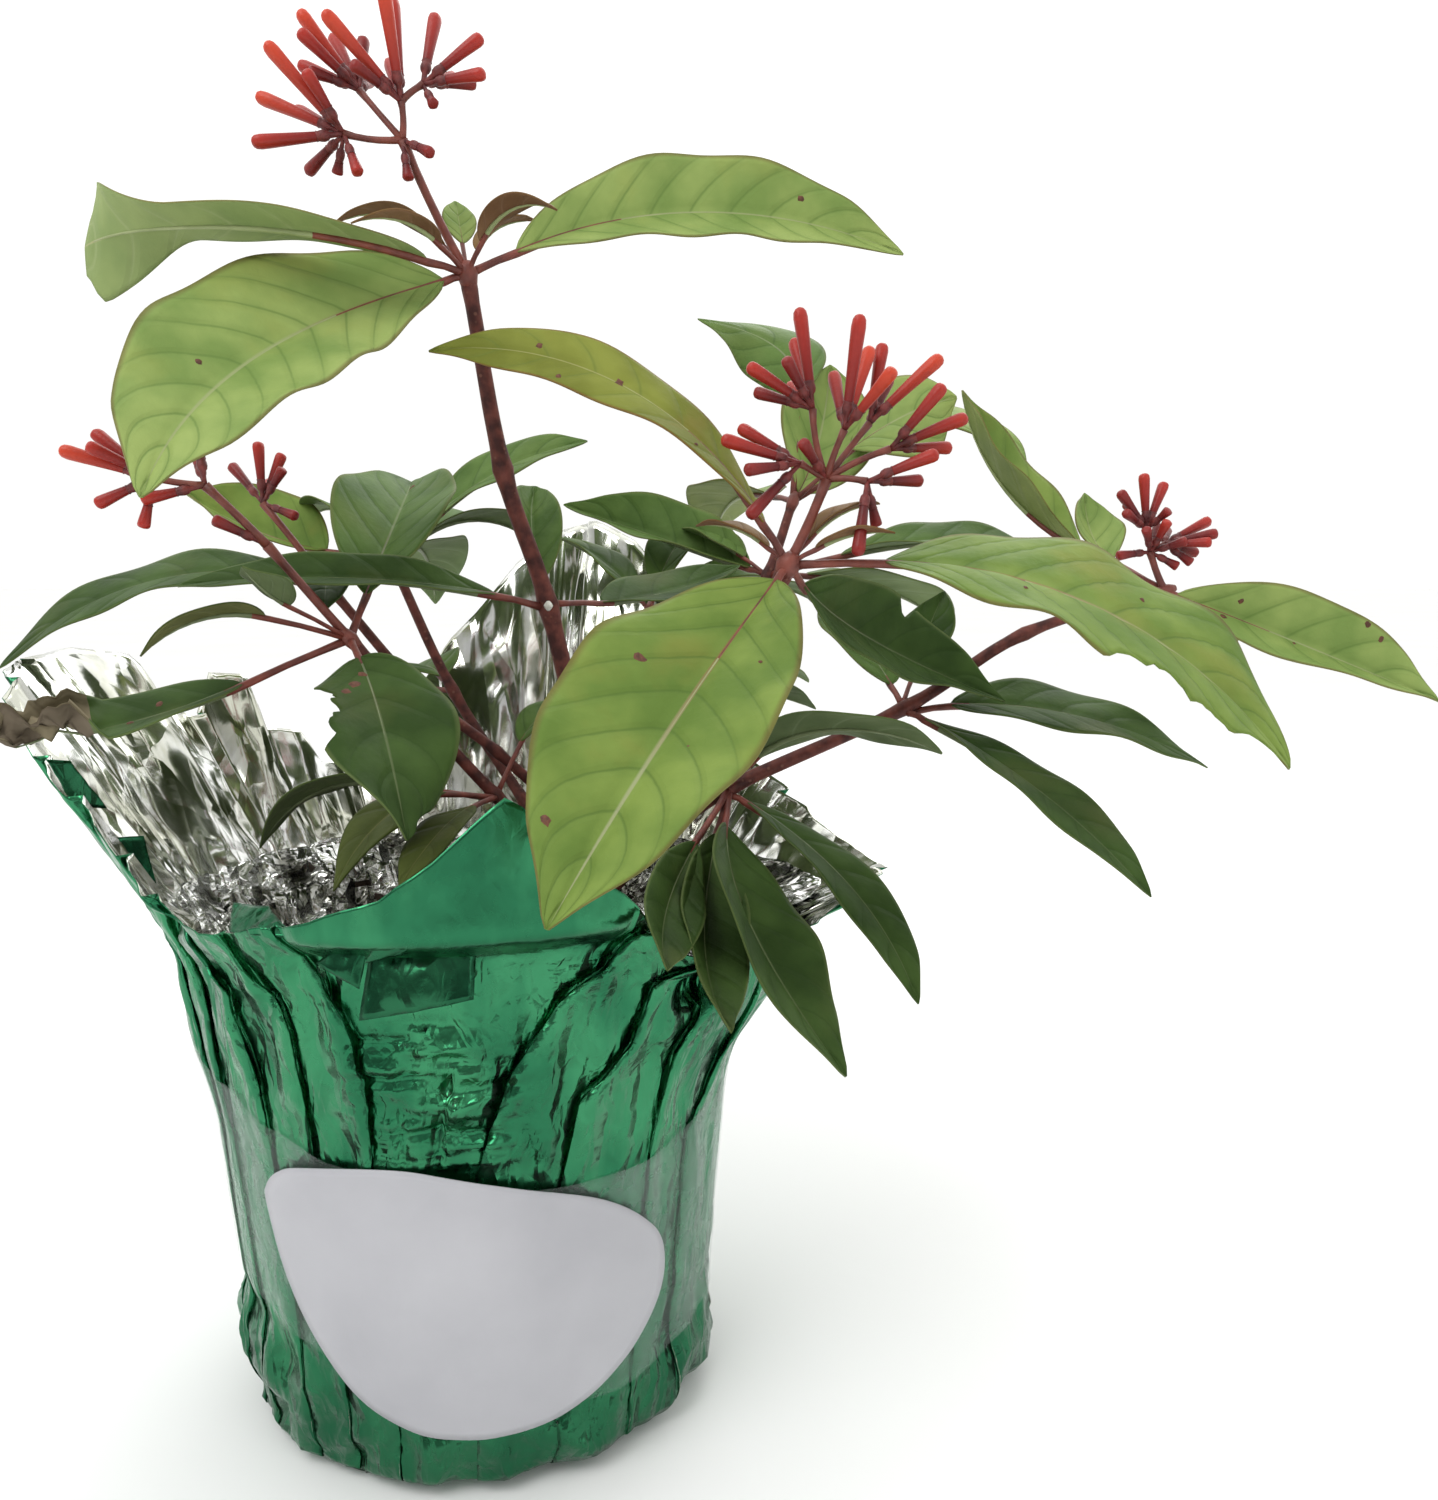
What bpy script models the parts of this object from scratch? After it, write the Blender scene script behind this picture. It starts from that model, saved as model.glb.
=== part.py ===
"""Flowering firebush in a nursery pot wrapped in pleated foil.

Metres, +Z up. The origin is the middle of the flat underside of the foil
cover. The plant's front, with the bare label, looks towards -Y.
"""
import random
from math import cos, pi, radians, sin

import bmesh
import bpy
from mathutils import Vector

# Driving dimensions of the pot and what wraps it
GAP = 0.0003
FOIL_THICKNESS = 0.0007
FOIL_FOOT_RADIUS = 0.0525
NECK_HEIGHT = 0.118
NECK_RADIUS = 0.0695
PLEATS = 22
POT_HEIGHT = 0.113
POT_FOOT_RADIUS = 0.0510
POT_RIM_RADIUS = 0.0640
POT_WALL = 0.0012
POT_RIM_HEIGHT = 0.0100
POT_ROLL = 0.0020
POT_EDGE = 0.0010
SOIL_LEVEL = 0.1030
BAND_BOTTOM = 0.0180
BAND_TOP = 0.0760
BAND_THICKNESS = 0.0005
LABEL_WIDTH = 0.0980
LABEL_BOTTOM = 0.0195
LABEL_TOP = 0.0770
LABEL_HEADING = -82.0
LABEL_THICKNESS = 0.0004
LABEL_CURVE = 0.0002

# Foil body: height and mean radius from the foot to the pot's rim
BODY_PROFILE = (
    (0.0030, 0.0570), (0.0160, 0.0590), (0.0780, 0.0645), (NECK_HEIGHT, NECK_RADIUS),
)

# Foil collar: heading in degrees, reach and height of its rim
RIM = (
    (-180, 0.1120, 0.1830), (-165, 0.1000, 0.1620), (-150, 0.0860, 0.1420),
    (-125, 0.0760, 0.1300), (-105, 0.0760, 0.1350), (-88, 0.0780, 0.1520),
    (-72, 0.0790, 0.1660), (-55, 0.0770, 0.1380), (-40, 0.0750, 0.1260),
    (-20, 0.0840, 0.1220), (5, 0.1060, 0.1370), (25, 0.0960, 0.1420),
    (45, 0.0920, 0.1620), (65, 0.0960, 0.1950), (85, 0.1000, 0.2200),
    (105, 0.0920, 0.2000), (125, 0.0900, 0.1750), (145, 0.0960, 0.1780),
    (165, 0.1080, 0.1890),
)

# Leaf: how thick a blade is, as a share of its length, and at least
BLADE_THICKNESS = 0.0105
LEAST_THICKNESS = 0.0006
PETIOLE_RADII = (0.0010, 0.0009, 0.0006)

# Places where stems carry leaves
MIDDLE_NODE = (0.0230, 0.0000, 0.2000)
INNER_NODE = (0.0100, -0.0080, 0.1530)
RIGHT_BACK_LOW_NODE = (0.0800, 0.0450, 0.2080)
RIGHT_LOW_NODE = (0.0680, 0.0000, 0.1530)
RIGHT_MIDDLE_NODE = (0.1140, 0.0050, 0.1735)

# Stems: points from the foot to the tip, and the radius at each of them
MAIN_STEM = (
    ((0.0280, 0.0030, SOIL_LEVEL + GAP), 0.0052), ((0.0300, 0.0020, 0.1250), 0.0034),
    ((0.0315, 0.0010, 0.1550), 0.0030), (MIDDLE_NODE, 0.0027), ((0.0134, -0.0050, 0.2330), 0.0025),
    ((0.0080, -0.0150, 0.2760), 0.0021),
)
LEFT_FRONT_STEM = (
    ((0.0269, -0.0013, 0.1330), 0.0020), (INNER_NODE, 0.0019), ((-0.0020, -0.0150, 0.1690), 0.0017),
    ((-0.0180, -0.0300, 0.1930), 0.0016),
)
LEFT_BACK_STEM = (
    ((0.0279, 0.0044, 0.1440), 0.0018), ((0.0080, 0.0060, 0.1620), 0.0017),
    ((-0.0120, 0.0070, 0.1780), 0.0016), ((-0.0330, 0.0050, 0.2040), 0.0015),
)
RIGHT_FRONT_STEM = (
    ((0.0358, -0.0006, 0.1400), 0.0024), ((0.0480, -0.0060, 0.1490), 0.0025),
    ((0.0660, -0.0200, 0.1760), 0.0025), ((0.0810, -0.0400, 0.2095), 0.0023),
)
RIGHT_BACK_STEM = (
    ((0.0347, 0.0046, 0.1500), 0.0022), ((0.0480, 0.0220, 0.1640), 0.0021),
    ((0.0680, 0.0380, 0.1860), 0.0020), (RIGHT_BACK_LOW_NODE, 0.0018), ((0.0875, 0.0520, 0.2290), 0.0016),
)
RIGHT_STEM = (
    ((0.0354, 0.0027, 0.1240), 0.0024), ((0.0500, 0.0030, 0.1380), 0.0023), (RIGHT_LOW_NODE, 0.0023),
    (RIGHT_MIDDLE_NODE, 0.0020), ((0.1457, 0.0100, 0.1925), 0.0018), ((0.1835, 0.0150, 0.2035), 0.0015),
)
BACK_LEFT_STEM = (
    ((0.0282, 0.0063, 0.1260), 0.0020), ((0.0120, 0.0250, 0.1450), 0.0019),
    ((-0.0100, 0.0380, 0.1750), 0.0018), ((-0.0280, 0.0450, 0.2120), 0.0016),
)
BACK_STEM = (
    ((0.0319, 0.0065, 0.1320), 0.0021), ((0.0370, 0.0270, 0.1500), 0.0020),
    ((0.0420, 0.0480, 0.1750), 0.0018), ((0.0450, 0.0600, 0.1970), 0.0016),
)
ROOT_STUB = 0.0020
SHOOT_FOOT = 0.0030
STEM_GAP = 0.0005
COLLAR_WALL = 0.0016
COLLAR_HEIGHT = 0.0040

random.seed(7)


def clear_scene():
    for thing in list(bpy.data.objects):
        bpy.data.objects.remove(thing)


def material(name, colour, roughness, metallic=0.0):
    made = bpy.data.materials.new(name)
    made.use_nodes = True
    shader = made.node_tree.nodes["Principled BSDF"]
    shader.inputs["Base Color"].default_value = (*colour, 1.0)
    shader.inputs["Roughness"].default_value = roughness
    shader.inputs["Metallic"].default_value = metallic
    made.diffuse_color = (*colour, 1.0)
    return made


def add_mesh(name, bm, home, finish, closed=True):
    """Object from a bmesh in collection home; a closed one with outward faces."""
    if closed:
        bmesh.ops.recalc_face_normals(bm, faces=bm.faces)
    mesh = bpy.data.meshes.new(name)
    bm.to_mesh(mesh)
    bm.free()
    made = bpy.data.objects.new(name, mesh)
    mesh.materials.append(finish)
    home.objects.link(made)
    return made


def direction(heading, rise):
    """Unit vector; heading turns from +X to +Y, rise lifts towards +Z."""
    turn, lift = radians(heading), radians(rise)
    return Vector((cos(lift) * cos(turn), cos(lift) * sin(turn), sin(lift)))


def picture_direction(angle, towards=0.0):
    """Unit vector as seen from the front: angle from +X up, towards -Y."""
    turn, near = radians(angle), radians(towards)
    return Vector((cos(turn) * cos(near), -sin(near), sin(turn) * cos(near)))


def smooth_path(points, steps):
    """Points on a Catmull-Rom curve through the given points."""
    ends = [points[0] * 2 - points[1], *points, points[-1] * 2 - points[-2]]
    path = []
    for a, b, c, d in zip(ends, ends[1:], ends[2:], ends[3:]):
        for step in range(steps):
            t = step / steps
            path.append(0.5 * ((2 * b) + (c - a) * t + (2 * a - 5 * b + 4 * c - d) * t * t
                               + (3 * b - a - 3 * c + d) * t ** 3))
    path.append(points[-1].copy())
    return path


def way_at(stem, index):
    """Direction of a stem at one of its points."""
    last = len(stem) - 1
    before, after = stem[max(index - 1, 0)][0], stem[min(index + 1, last)][0]
    return (Vector(after) - Vector(before)).normalized()


def limb(name, home, stem, finish, stub=0.0, steps=3):
    """Tapering stem: a bevelled curve with a radius at each point. It stops
    just short of the foot of the leaves at its tip; stub is how far it first
    rises straight up, for a flat cut at the soil."""
    points = [Vector(place) for place, _ in stem]
    points[-1] = points[-1] - way_at(stem, len(stem) - 1) * (SHOOT_FOOT + STEM_GAP)
    points[0].z += stub
    path = smooth_path(points, steps)
    spans = len(stem) - 1
    radii = []
    for index in range(len(path)):
        low, part = divmod(index, steps)
        radius = stem[low][1]
        radii.append(radius + (stem[min(low + 1, spans)][1] - radius) * part / steps)
    if stub:
        path.insert(0, path[0] - Vector((0, 0, stub)))
        radii.insert(0, radii[0])
    curve = bpy.data.curves.new(name, "CURVE")
    curve.dimensions = "3D"
    curve.bevel_depth = 1.0
    curve.bevel_resolution = 2
    curve.use_fill_caps = True
    spline = curve.splines.new("POLY")
    spline.points.add(len(path) - 1)
    for point, place, radius in zip(spline.points, path, radii):
        point.co = (*place, 1.0)
        point.radius = radius
    made = bpy.data.objects.new(name, curve)
    curve.materials.append(finish)
    home.objects.link(made)
    return made


def loft(bm, sections):
    """Closed body through sections, each a loop of equally many points."""
    rings = [[bm.verts.new(p) for p in section] for section in sections]
    count = len(rings[0])
    for ring, after in zip(rings, rings[1:]):
        for i in range(count):
            j = (i + 1) % count
            bm.faces.new((ring[i], ring[j], after[j], after[i]))
    bm.faces.new(list(reversed(rings[0])))
    bm.faces.new(rings[-1])


def blade_faces(bm, sections):
    """Blade through sections of left edge, top, right edge and bottom. Both
    sides are cut along the same diagonals, so a twisted blade stays thin."""
    rings = [[bm.verts.new(p) for p in section] for section in sections]
    for (left, top, right, bottom), (left_on, top_on, right_on, bottom_on) in zip(rings, rings[1:]):
        bm.faces.new((left, top, top_on))
        bm.faces.new((left, top_on, left_on))
        bm.faces.new((top, right, top_on))
        bm.faces.new((right, right_on, top_on))
        bm.faces.new((right, bottom, bottom_on))
        bm.faces.new((right, bottom_on, right_on))
        bm.faces.new((bottom, left, bottom_on))
        bm.faces.new((left, left_on, bottom_on))
    bm.faces.new(list(reversed(rings[0])))
    bm.faces.new(rings[-1])


def across(way):
    """Two unit vectors square to way."""
    helper = Vector((0, 0, 1)) if abs(way.z) < 0.9 else Vector((1, 0, 0))
    side = way.cross(helper).normalized()
    return side, side.cross(way).normalized()


def ring_section(centre, way, radius, sides):
    side, other = across(way)
    return [centre + (side * cos(2 * pi * k / sides) + other * sin(2 * pi * k / sides)) * radius
            for k in range(sides)]


def rod(home, finish, points, radii, sides=4):
    """Slim stalk through points, a body of its own before the union."""
    bm = bmesh.new()
    last = len(points) - 1
    sections = []
    for i, place in enumerate(points):
        way = (points[min(i + 1, last)] - points[max(i - 1, 0)]).normalized()
        sections.append(ring_section(place, way, radii[i], sides))
    loft(bm, sections)
    return add_mesh("stalk", bm, home, finish)


def leaf(heading, rise, length, width, droop=30, sweep=0, petiole=0.010, roll=0, fold=14, twist=0):
    """Sizes of one leaf. Heading and rise are its first direction; droop and
    sweep are how far it bends down and to the left on its way to the tip;
    roll lifts its right side, by twist more at the tip; fold closes its halves."""
    return dict(heading=heading, rise=rise, length=length, width=width, droop=droop,
                sweep=sweep, petiole=petiole, roll=roll, fold=fold, twist=twist)


def half_width(share):
    """Half of the blade's width at a share of its length, for a width of 1."""
    return 0.5 * max(sin(pi * share ** 0.92), 0.0) ** 0.8 + 0.012


def blade_stations(root, size, count):
    """Places and ways along the midrib, from the petiole's end to the tip."""
    place = root + direction(size["heading"], size["rise"]) * size["petiole"]
    stations = [(place, direction(size["heading"], size["rise"]), 0.0)]
    for i in range(count):
        middle = (i + 0.5) / count
        step = direction(size["heading"] + size["sweep"] * middle,
                         size["rise"] - size["droop"] * middle)
        place = place + step * (size["length"] / count)
        end = (i + 1) / count
        way = direction(size["heading"] + size["sweep"] * end, size["rise"] - size["droop"] * end)
        stations.append((place, way, end))
    return stations


def add_leaf(home, finish, node, size, root=None):
    """Blade as a loft of four-cornered sections, and its petiole and midrib."""
    spans = 4 + (size["length"] > 0.045) + (size["length"] > 0.080)
    stations = blade_stations(node, size, spans)
    thickness = max(size["length"] * BLADE_THICKNESS, LEAST_THICKNESS)
    fold = radians(size["fold"])
    bm = bmesh.new()
    sections = []
    for place, way, share in stations:
        flat = way.cross(Vector((0, 0, 1))).normalized()
        lift = flat.cross(way)
        roll = radians(size["roll"] + size["twist"] * share)
        side = flat * cos(roll) + lift * sin(roll)
        top = side.cross(way).normalized()
        reach = half_width(share) * size["width"]
        right = place + (side * cos(fold) + top * sin(fold)) * reach
        left = place + (-side * cos(fold) + top * sin(fold)) * reach
        thick = top * thickness * 0.5
        sections.append([left, place + thick, right, place - thick])
    blade_faces(bm, sections)
    add_mesh("blade", bm, home, finish)
    start = root if root is not None else node
    rod(home, finish, [start, stations[0][0], stations[1][0]], PETIOLE_RADII, sides=3)


def add_flower(home, finish, start, angle, towards, length, stalk=0.003):
    """Slim tube on a short stalk: a small ovary, then the closed corolla."""
    way = picture_direction(angle, towards)
    profile = ((-stalk, 0.0006), (0.0012, 0.0013), (0.0034, 0.0010), (length * 0.85, 0.0016),
               (length, 0.0008))
    bm = bmesh.new()
    base = start + way * stalk
    loft(bm, [ring_section(base + way * along, way, radius, 4) for along, radius in profile])
    add_mesh("flower", bm, home, finish)


def add_branch(home, finish, start, angle, towards, length, radius=0.0008):
    """One arm of a flower cluster; returns its end."""
    end = start + picture_direction(angle, towards) * length
    rod(home, finish, [start, end], (radius, radius * 0.8), sides=4)
    return end


def fuse(name, pieces, body, finish, solver="EXACT"):
    """Joins the body and all the pieces into one solid with one union."""
    body.name = name
    joined = body.modifiers.new("union", "BOOLEAN")
    joined.operation = "UNION"
    joined.operand_type = "COLLECTION"
    joined.collection = pieces
    joined.solver = solver
    bpy.context.view_layer.update()
    whole = bpy.data.meshes.new_from_object(body.evaluated_get(bpy.context.evaluated_depsgraph_get()))
    body.modifiers.clear()
    body.data = whole
    whole.name = name
    whole.materials.clear()
    whole.materials.append(finish)
    for piece in list(pieces.objects):
        bpy.data.objects.remove(piece)
    bpy.data.collections.remove(pieces)


def new_pieces(name):
    pieces = bpy.data.collections.new(name)
    bpy.context.scene.collection.children.link(pieces)
    return pieces


def collar(home, finish, node, way, stem_radius, steps=10):
    """Swollen ring round a stem, clear of it, that leaves grow from."""
    side, _ = across(way)
    inner = stem_radius + STEM_GAP
    outer = inner + COLLAR_WALL
    low, high = -COLLAR_HEIGHT / 2, COLLAR_HEIGHT / 2
    bm = bmesh.new()
    verts = [bm.verts.new(node + side * reach + way * along)
             for reach, along in ((inner, low), (outer, low), (outer, high), (inner, high))]
    edges = [bm.edges.new((verts[i], verts[(i + 1) % 4])) for i in range(4)]
    bmesh.ops.spin(bm, geom=verts + edges, cent=node, axis=way, angle=2 * pi, steps=steps,
                   use_merge=True)
    bmesh.ops.remove_doubles(bm, verts=bm.verts, dist=0.00001)
    return add_mesh("collar", bm, home, finish)


def whorl_on_stem(name, home, finish, stem, index, leaves, solver="EXACT"):
    """Mass of leaves that grows from a collar round a stem."""
    node = Vector(stem[index][0])
    radius = stem[index][1]
    way = way_at(stem, index)
    pieces = new_pieces(name + "_pieces")
    body = collar(home, finish, node, way, radius)
    for size in leaves:
        out = direction(size["heading"], size["rise"])
        out = (out - way * out.dot(way)).normalized()
        root = node + out * (radius + STEM_GAP + COLLAR_WALL * 0.6)
        add_leaf(pieces, finish, node, size, root)
    fuse(name, pieces, body, finish, solver)


def shoot_tip(name, home, finish, stem, leaves, cluster=None, solver="EXACT"):
    """Mass at a stem's end: a short stem, its whorl of leaves, its flowers."""
    node = Vector(stem[-1][0])
    radius = stem[-1][1]
    way = way_at(stem, len(stem) - 1)
    pieces = new_pieces(name + "_pieces")
    bm = bmesh.new()
    loft(bm, [ring_section(node + way * along, way, wide, 8)
              for along, wide in ((-SHOOT_FOOT, radius), (0.0, radius * 1.15), (SHOOT_FOOT, radius * 0.7))])
    body = add_mesh("foot", bm, home, finish)
    for size in leaves:
        add_leaf(pieces, finish, node, size)
    if cluster:
        cluster(pieces, finish, node)
    fuse(name, pieces, body, finish, solver)


# Flower clusters

def top_cluster(home, finish, node):
    fork = add_branch(home, finish, node, 114, 18, 0.0300, 0.0011)
    left = add_branch(home, finish, fork, 180, 5, 0.0130)
    upper = add_branch(home, finish, fork, 136, -10, 0.0165)
    middle = add_branch(home, finish, fork, 87, 10, 0.0075)
    right = add_branch(home, finish, middle, 45, -20, 0.0065)
    for start, angle, towards, length in (
        (left, 194, 15, 0.0170), (left, 161, -10, 0.0175), (left, 123, 25, 0.0150),
        (left, 285, 20, 0.0055), (upper, 164, -15, 0.0145), (upper, 113, -25, 0.0150),
        (upper, 125, 10, 0.0120), (upper, 138, -35, 0.0105), (upper, 86, -30, 0.0090),
        (middle, 128, 25, 0.0165), (middle, 91, -8, 0.0195), (middle, 88, 20, 0.0170),
        (right, 84, -20, 0.0150), (right, 40, 0, 0.0120), (right, 4, 15, 0.0110),
        (right, 300, 35, 0.0050), (fork, 280, 10, 0.0060), (right, 60, -60, 0.0130),
        (upper, 100, -70, 0.0130),
    ):
        add_flower(home, finish, start, angle, towards, length)


def right_front_cluster(home, finish, node):
    fork = add_branch(home, finish, node, 66, 0, 0.0200, 0.0011)
    upper = add_branch(home, finish, fork, 102, 0, 0.0150)
    left = add_branch(home, finish, fork, 152, 20, 0.0070)
    middle = add_branch(home, finish, fork, 71, 15, 0.0110)
    inner = add_branch(home, finish, fork, 52, -15, 0.0160)
    right = add_branch(home, finish, fork, 25, 0, 0.0150)
    low = add_branch(home, finish, fork, -5, 20, 0.0090)
    for start, angle, towards, length in (
        (upper, 98, 0, 0.0180), (upper, 103, -25, 0.0150), (upper, 155, 10, 0.0120),
        (upper, 124, 30, 0.0100), (left, 162, 15, 0.0120), (left, 148, -15, 0.0100),
        (left, 225, 10, 0.0130), (middle, 79, 15, 0.0170), (middle, 72, -20, 0.0170),
        (middle, 43, 35, 0.0110), (inner, 82, -10, 0.0140), (inner, 70, -35, 0.0100),
        (inner, 40, 0, 0.0175), (right, 56, 10, 0.0120), (right, 17, 0, 0.0135), (low, 15, 15, 0.0110),
        (low, 5, -25, 0.0080), (low, 261, 20, 0.0135), (inner, 60, -65, 0.0130),
        (upper, 120, -60, 0.0130),
    ):
        add_flower(home, finish, start, angle, towards, length)


def right_end_cluster(home, finish, node):
    fork = add_branch(home, finish, node, 113, 0, 0.0110, 0.0010)
    upper = add_branch(home, finish, fork, 100, -10, 0.0060)
    right = add_branch(home, finish, fork, 30, 5, 0.0040)
    for start, angle, towards, length in (
        (upper, 130, 10, 0.0110), (upper, 95, 0, 0.0125), (upper, 68, -10, 0.0120),
        (upper, 110, -50, 0.0100), (right, 28, -10, 0.0125), (right, 14, 10, 0.0115),
        (right, 2, 20, 0.0095), (right, -12, -20, 0.0090), (fork, 185, 15, 0.0080),
        (right, 45, -60, 0.0100),
    ):
        add_flower(home, finish, start, angle, towards, length, stalk=0.0020)


def left_front_cluster(home, finish, node):
    middle = add_branch(home, finish, node, 124, 22, 0.0270, 0.0011)
    fork = add_branch(home, finish, middle, 131, 16, 0.0170, 0.0010)
    far = add_branch(home, finish, fork, 172, 12, 0.0100)
    for start, angle, towards, length in (
        (far, 162, 15, 0.0155), (far, 144, -5, 0.0130), (far, 148, 30, 0.0110), (far, 205, 10, 0.0100),
        (far, 258, 10, 0.0075), (fork, 196, 20, 0.0100), (fork, 120, -35, 0.0120),
        (fork, 100, -10, 0.0100), (middle, 150, 25, 0.0090),
    ):
        add_flower(home, finish, start, angle, towards, length)


def left_back_cluster(home, finish, node):
    fork = add_branch(home, finish, node, 127, 0, 0.0270, 0.0010)
    for angle, towards, length in (
        (92, 0, 0.0125), (72, -15, 0.0110), (52, 15, 0.0080), (133, -20, 0.0120), (-20, 20, 0.0080),
        (110, -60, 0.0110),
    ):
        add_flower(home, finish, fork, angle, towards, length)


def build_plant(home):
    bark = material("bark", (0.105, 0.035, 0.028), 0.55)
    young = material("young_leaves", (0.235, 0.360, 0.080), 0.5)
    old = material("old_leaves", (0.045, 0.105, 0.035), 0.5)

    limb("main_stem", home, MAIN_STEM, bark, ROOT_STUB)
    limb("left_front_stem", home, LEFT_FRONT_STEM, bark)
    limb("left_back_stem", home, LEFT_BACK_STEM, bark)
    limb("right_front_stem", home, RIGHT_FRONT_STEM, bark)
    limb("right_back_stem", home, RIGHT_BACK_STEM, bark)
    limb("right_stem", home, RIGHT_STEM, bark)
    limb("back_left_stem", home, BACK_LEFT_STEM, bark)
    limb("back_stem", home, BACK_STEM, bark)

    shoot_tip("top_leaves_and_flowers", home, young, MAIN_STEM, (
        leaf(-150, 13, 0.085, 0.016, 31, -70, 0.013, -8, 7, -20),
        leaf(-150, -19, 0.100, 0.038, 27, 63, 0.006, 55, 17, -40),
        leaf(22, 28, 0.098, 0.026, 52, -25, 0.013, -58, 27, -14),
        leaf(178, 52, 0.028, 0.009, 85, 10, 0.008),
        leaf(-116, 25, 0.026, 0.008, 55, -16, 0.010),
        leaf(-40, 50, 0.024, 0.009, 80, 20, 0.008),
        leaf(60, 60, 0.020, 0.008, 60, -35, 0.007),
        leaf(110, 55, 0.022, 0.010, 10, 0, 0.010),
    ), top_cluster)
    whorl_on_stem("middle_leaves", home, old, MAIN_STEM, 3, (
        leaf(-140, 11, 0.075, 0.016, 19, -54, 0.015, 25, 18, 8),
        leaf(112, 44, 0.044, 0.017, 15, -23, 0.009, -20, 40, 14),
        leaf(48, 2, 0.047, 0.021, -20, -25, 0.018, -15),
    ), solver="MANIFOLD")
    shoot_tip("left_front_leaves_and_flowers", home, old, LEFT_FRONT_STEM, (
        leaf(-62, -22, 0.054, 0.029, 33, -2, 0.010, -18, 8, 50),
        leaf(-155, -22, 0.050, 0.019, -18, 0, 0.025, 20),
        leaf(83, 45, 0.067, 0.033, 35, 19, 0.014, -10, 30, 8),
        leaf(-122, 26, 0.014, 0.014, -20, 0, 0.018),
        leaf(-137, 16, 0.028, 0.012, 66, -15, 0.020, -10),
    ), left_front_cluster, solver="MANIFOLD")
    shoot_tip("left_back_leaves_and_flowers", home, old, LEFT_BACK_STEM, (
        leaf(173, 15, 0.083, 0.024, 62, 26, 0.008, 24, 5),
        leaf(100, 25, 0.030, 0.016, 40, 10, 0.010),
        leaf(-75, 10, 0.026, 0.012, 50, 0, 0.010),
    ), left_back_cluster)
    shoot_tip("right_front_leaves_and_flowers", home, young, RIGHT_FRONT_STEM, (
        leaf(-124, -33, 0.098, 0.045, 5, 7, 0.006, 10, 20, 10),
        leaf(-6, 2, 0.099, 0.050, 58, -8, 0.021, -20, 4, -9),
        leaf(172, 60, 0.090, 0.018, 66, -3, 0.010, 10, 4, 59),
        leaf(64, -25, 0.073, 0.026, -2, -65, 0.010, -90, 26, 60),
        leaf(150, 40, 0.020, 0.008, 50, 0, 0.006),
        leaf(20, 50, 0.020, 0.009, 50, 0, 0.007),
        leaf(-20, 30, 0.018, 0.008, 40, 0, 0.007),
    ), right_front_cluster)
    whorl_on_stem("right_back_low_leaves", home, old, RIGHT_BACK_STEM, 3, (
        leaf(137, 15, 0.068, 0.026, -4, 34, 0.007, 23, 35, 19),
        leaf(140, 30, 0.026, 0.015, 20, 0, 0.010),
        leaf(-20, 14, 0.066, 0.024, 28, 60, 0.022, -15),
        leaf(20, 0, 0.060, 0.026, 35, 20, 0.012),
    ))
    shoot_tip("right_back_leaves", home, young, RIGHT_BACK_STEM, (
        leaf(82, 63, 0.053, 0.025, 59, 117, 0.034, 45, -15, -12),
        leaf(59, 39, 0.048, 0.034, -39, 11, 0.004, -52, 30, 30),
        leaf(10, 41, 0.035, 0.034, 30, -9, 0.023, -11, -10, -70),
        leaf(28, 28, 0.044, 0.024, 95, -37, 0.050, -24, 4, -9),
        leaf(115, 12, 0.070, 0.030, 40, -20, 0.012),
    ))
    whorl_on_stem("right_low_leaves", home, old, RIGHT_STEM, 2, (
        leaf(-51, 42, 0.054, 0.019, 73, 57, 0.012, 7, 4, 31),
        leaf(-19, -27, 0.070, 0.018, 15, -56, 0.006, 2, 6),
        leaf(-91, -30, 0.072, 0.029, 19, 63, 0.014, 55, 20, -65),
        leaf(-102, -37, 0.073, 0.020, -32, 28, 0.015, 30, 30),
        leaf(-110, -23, 0.058, 0.017, -19, 30, 0.024, 55, 22, -20),
        leaf(95, 15, 0.040, 0.020, 40, 0, 0.010),
    ))
    whorl_on_stem("right_middle_leaves", home, old, RIGHT_STEM, 3, (
        leaf(71, 35, 0.034, 0.017, -12, -20, 0.013),
        leaf(3, 4, 0.069, 0.029, 35, -14, 0.012, -24, 6, 14),
        leaf(-33, -22, 0.073, 0.019, 13, -28, 0.006, 3, 9, -8),
        leaf(106, 32, 0.052, 0.022, 20, 0, 0.010),
    ))
    shoot_tip("right_end_leaves_and_flowers", home, young, RIGHT_STEM, (
        leaf(-17, -21, 0.070, 0.025, 3, 9, 0.003, -72, 36, 30),
        leaf(144, 27, 0.057, 0.028, -50, 32, 0.026, -5, 30, 27),
        leaf(109, 21, 0.028, 0.018, -50, -22, 0.024, 10, 30, -35),
        leaf(55, -5, 0.056, 0.024, 45, 0, 0.010),
    ), right_end_cluster)
    shoot_tip("back_left_leaves", home, old, BACK_LEFT_STEM, (
        leaf(151, 7, 0.048, 0.032, -29, 60, 0.026, 25, 28, 12),
        leaf(18, 45, 0.052, 0.022, 36, -16, 0.016, -22, 11, -11),
        leaf(90, 15, 0.068, 0.028, 60, 10, 0.012),
        leaf(135, 40, 0.045, 0.022, 60, 0, 0.010),
        leaf(50, 35, 0.050, 0.022, 70, 0, 0.010),
    ))
    shoot_tip("back_leaves", home, old, BACK_STEM, (
        leaf(152, 48, 0.036, 0.019, 35, -5, 0.006),
        leaf(90, 20, 0.078, 0.030, 75, 0, 0.012),
        leaf(30, 25, 0.060, 0.026, 60, 0, 0.010, -10),
        leaf(60, 60, 0.040, 0.018, 50, 0, 0.008),
    ))
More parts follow.
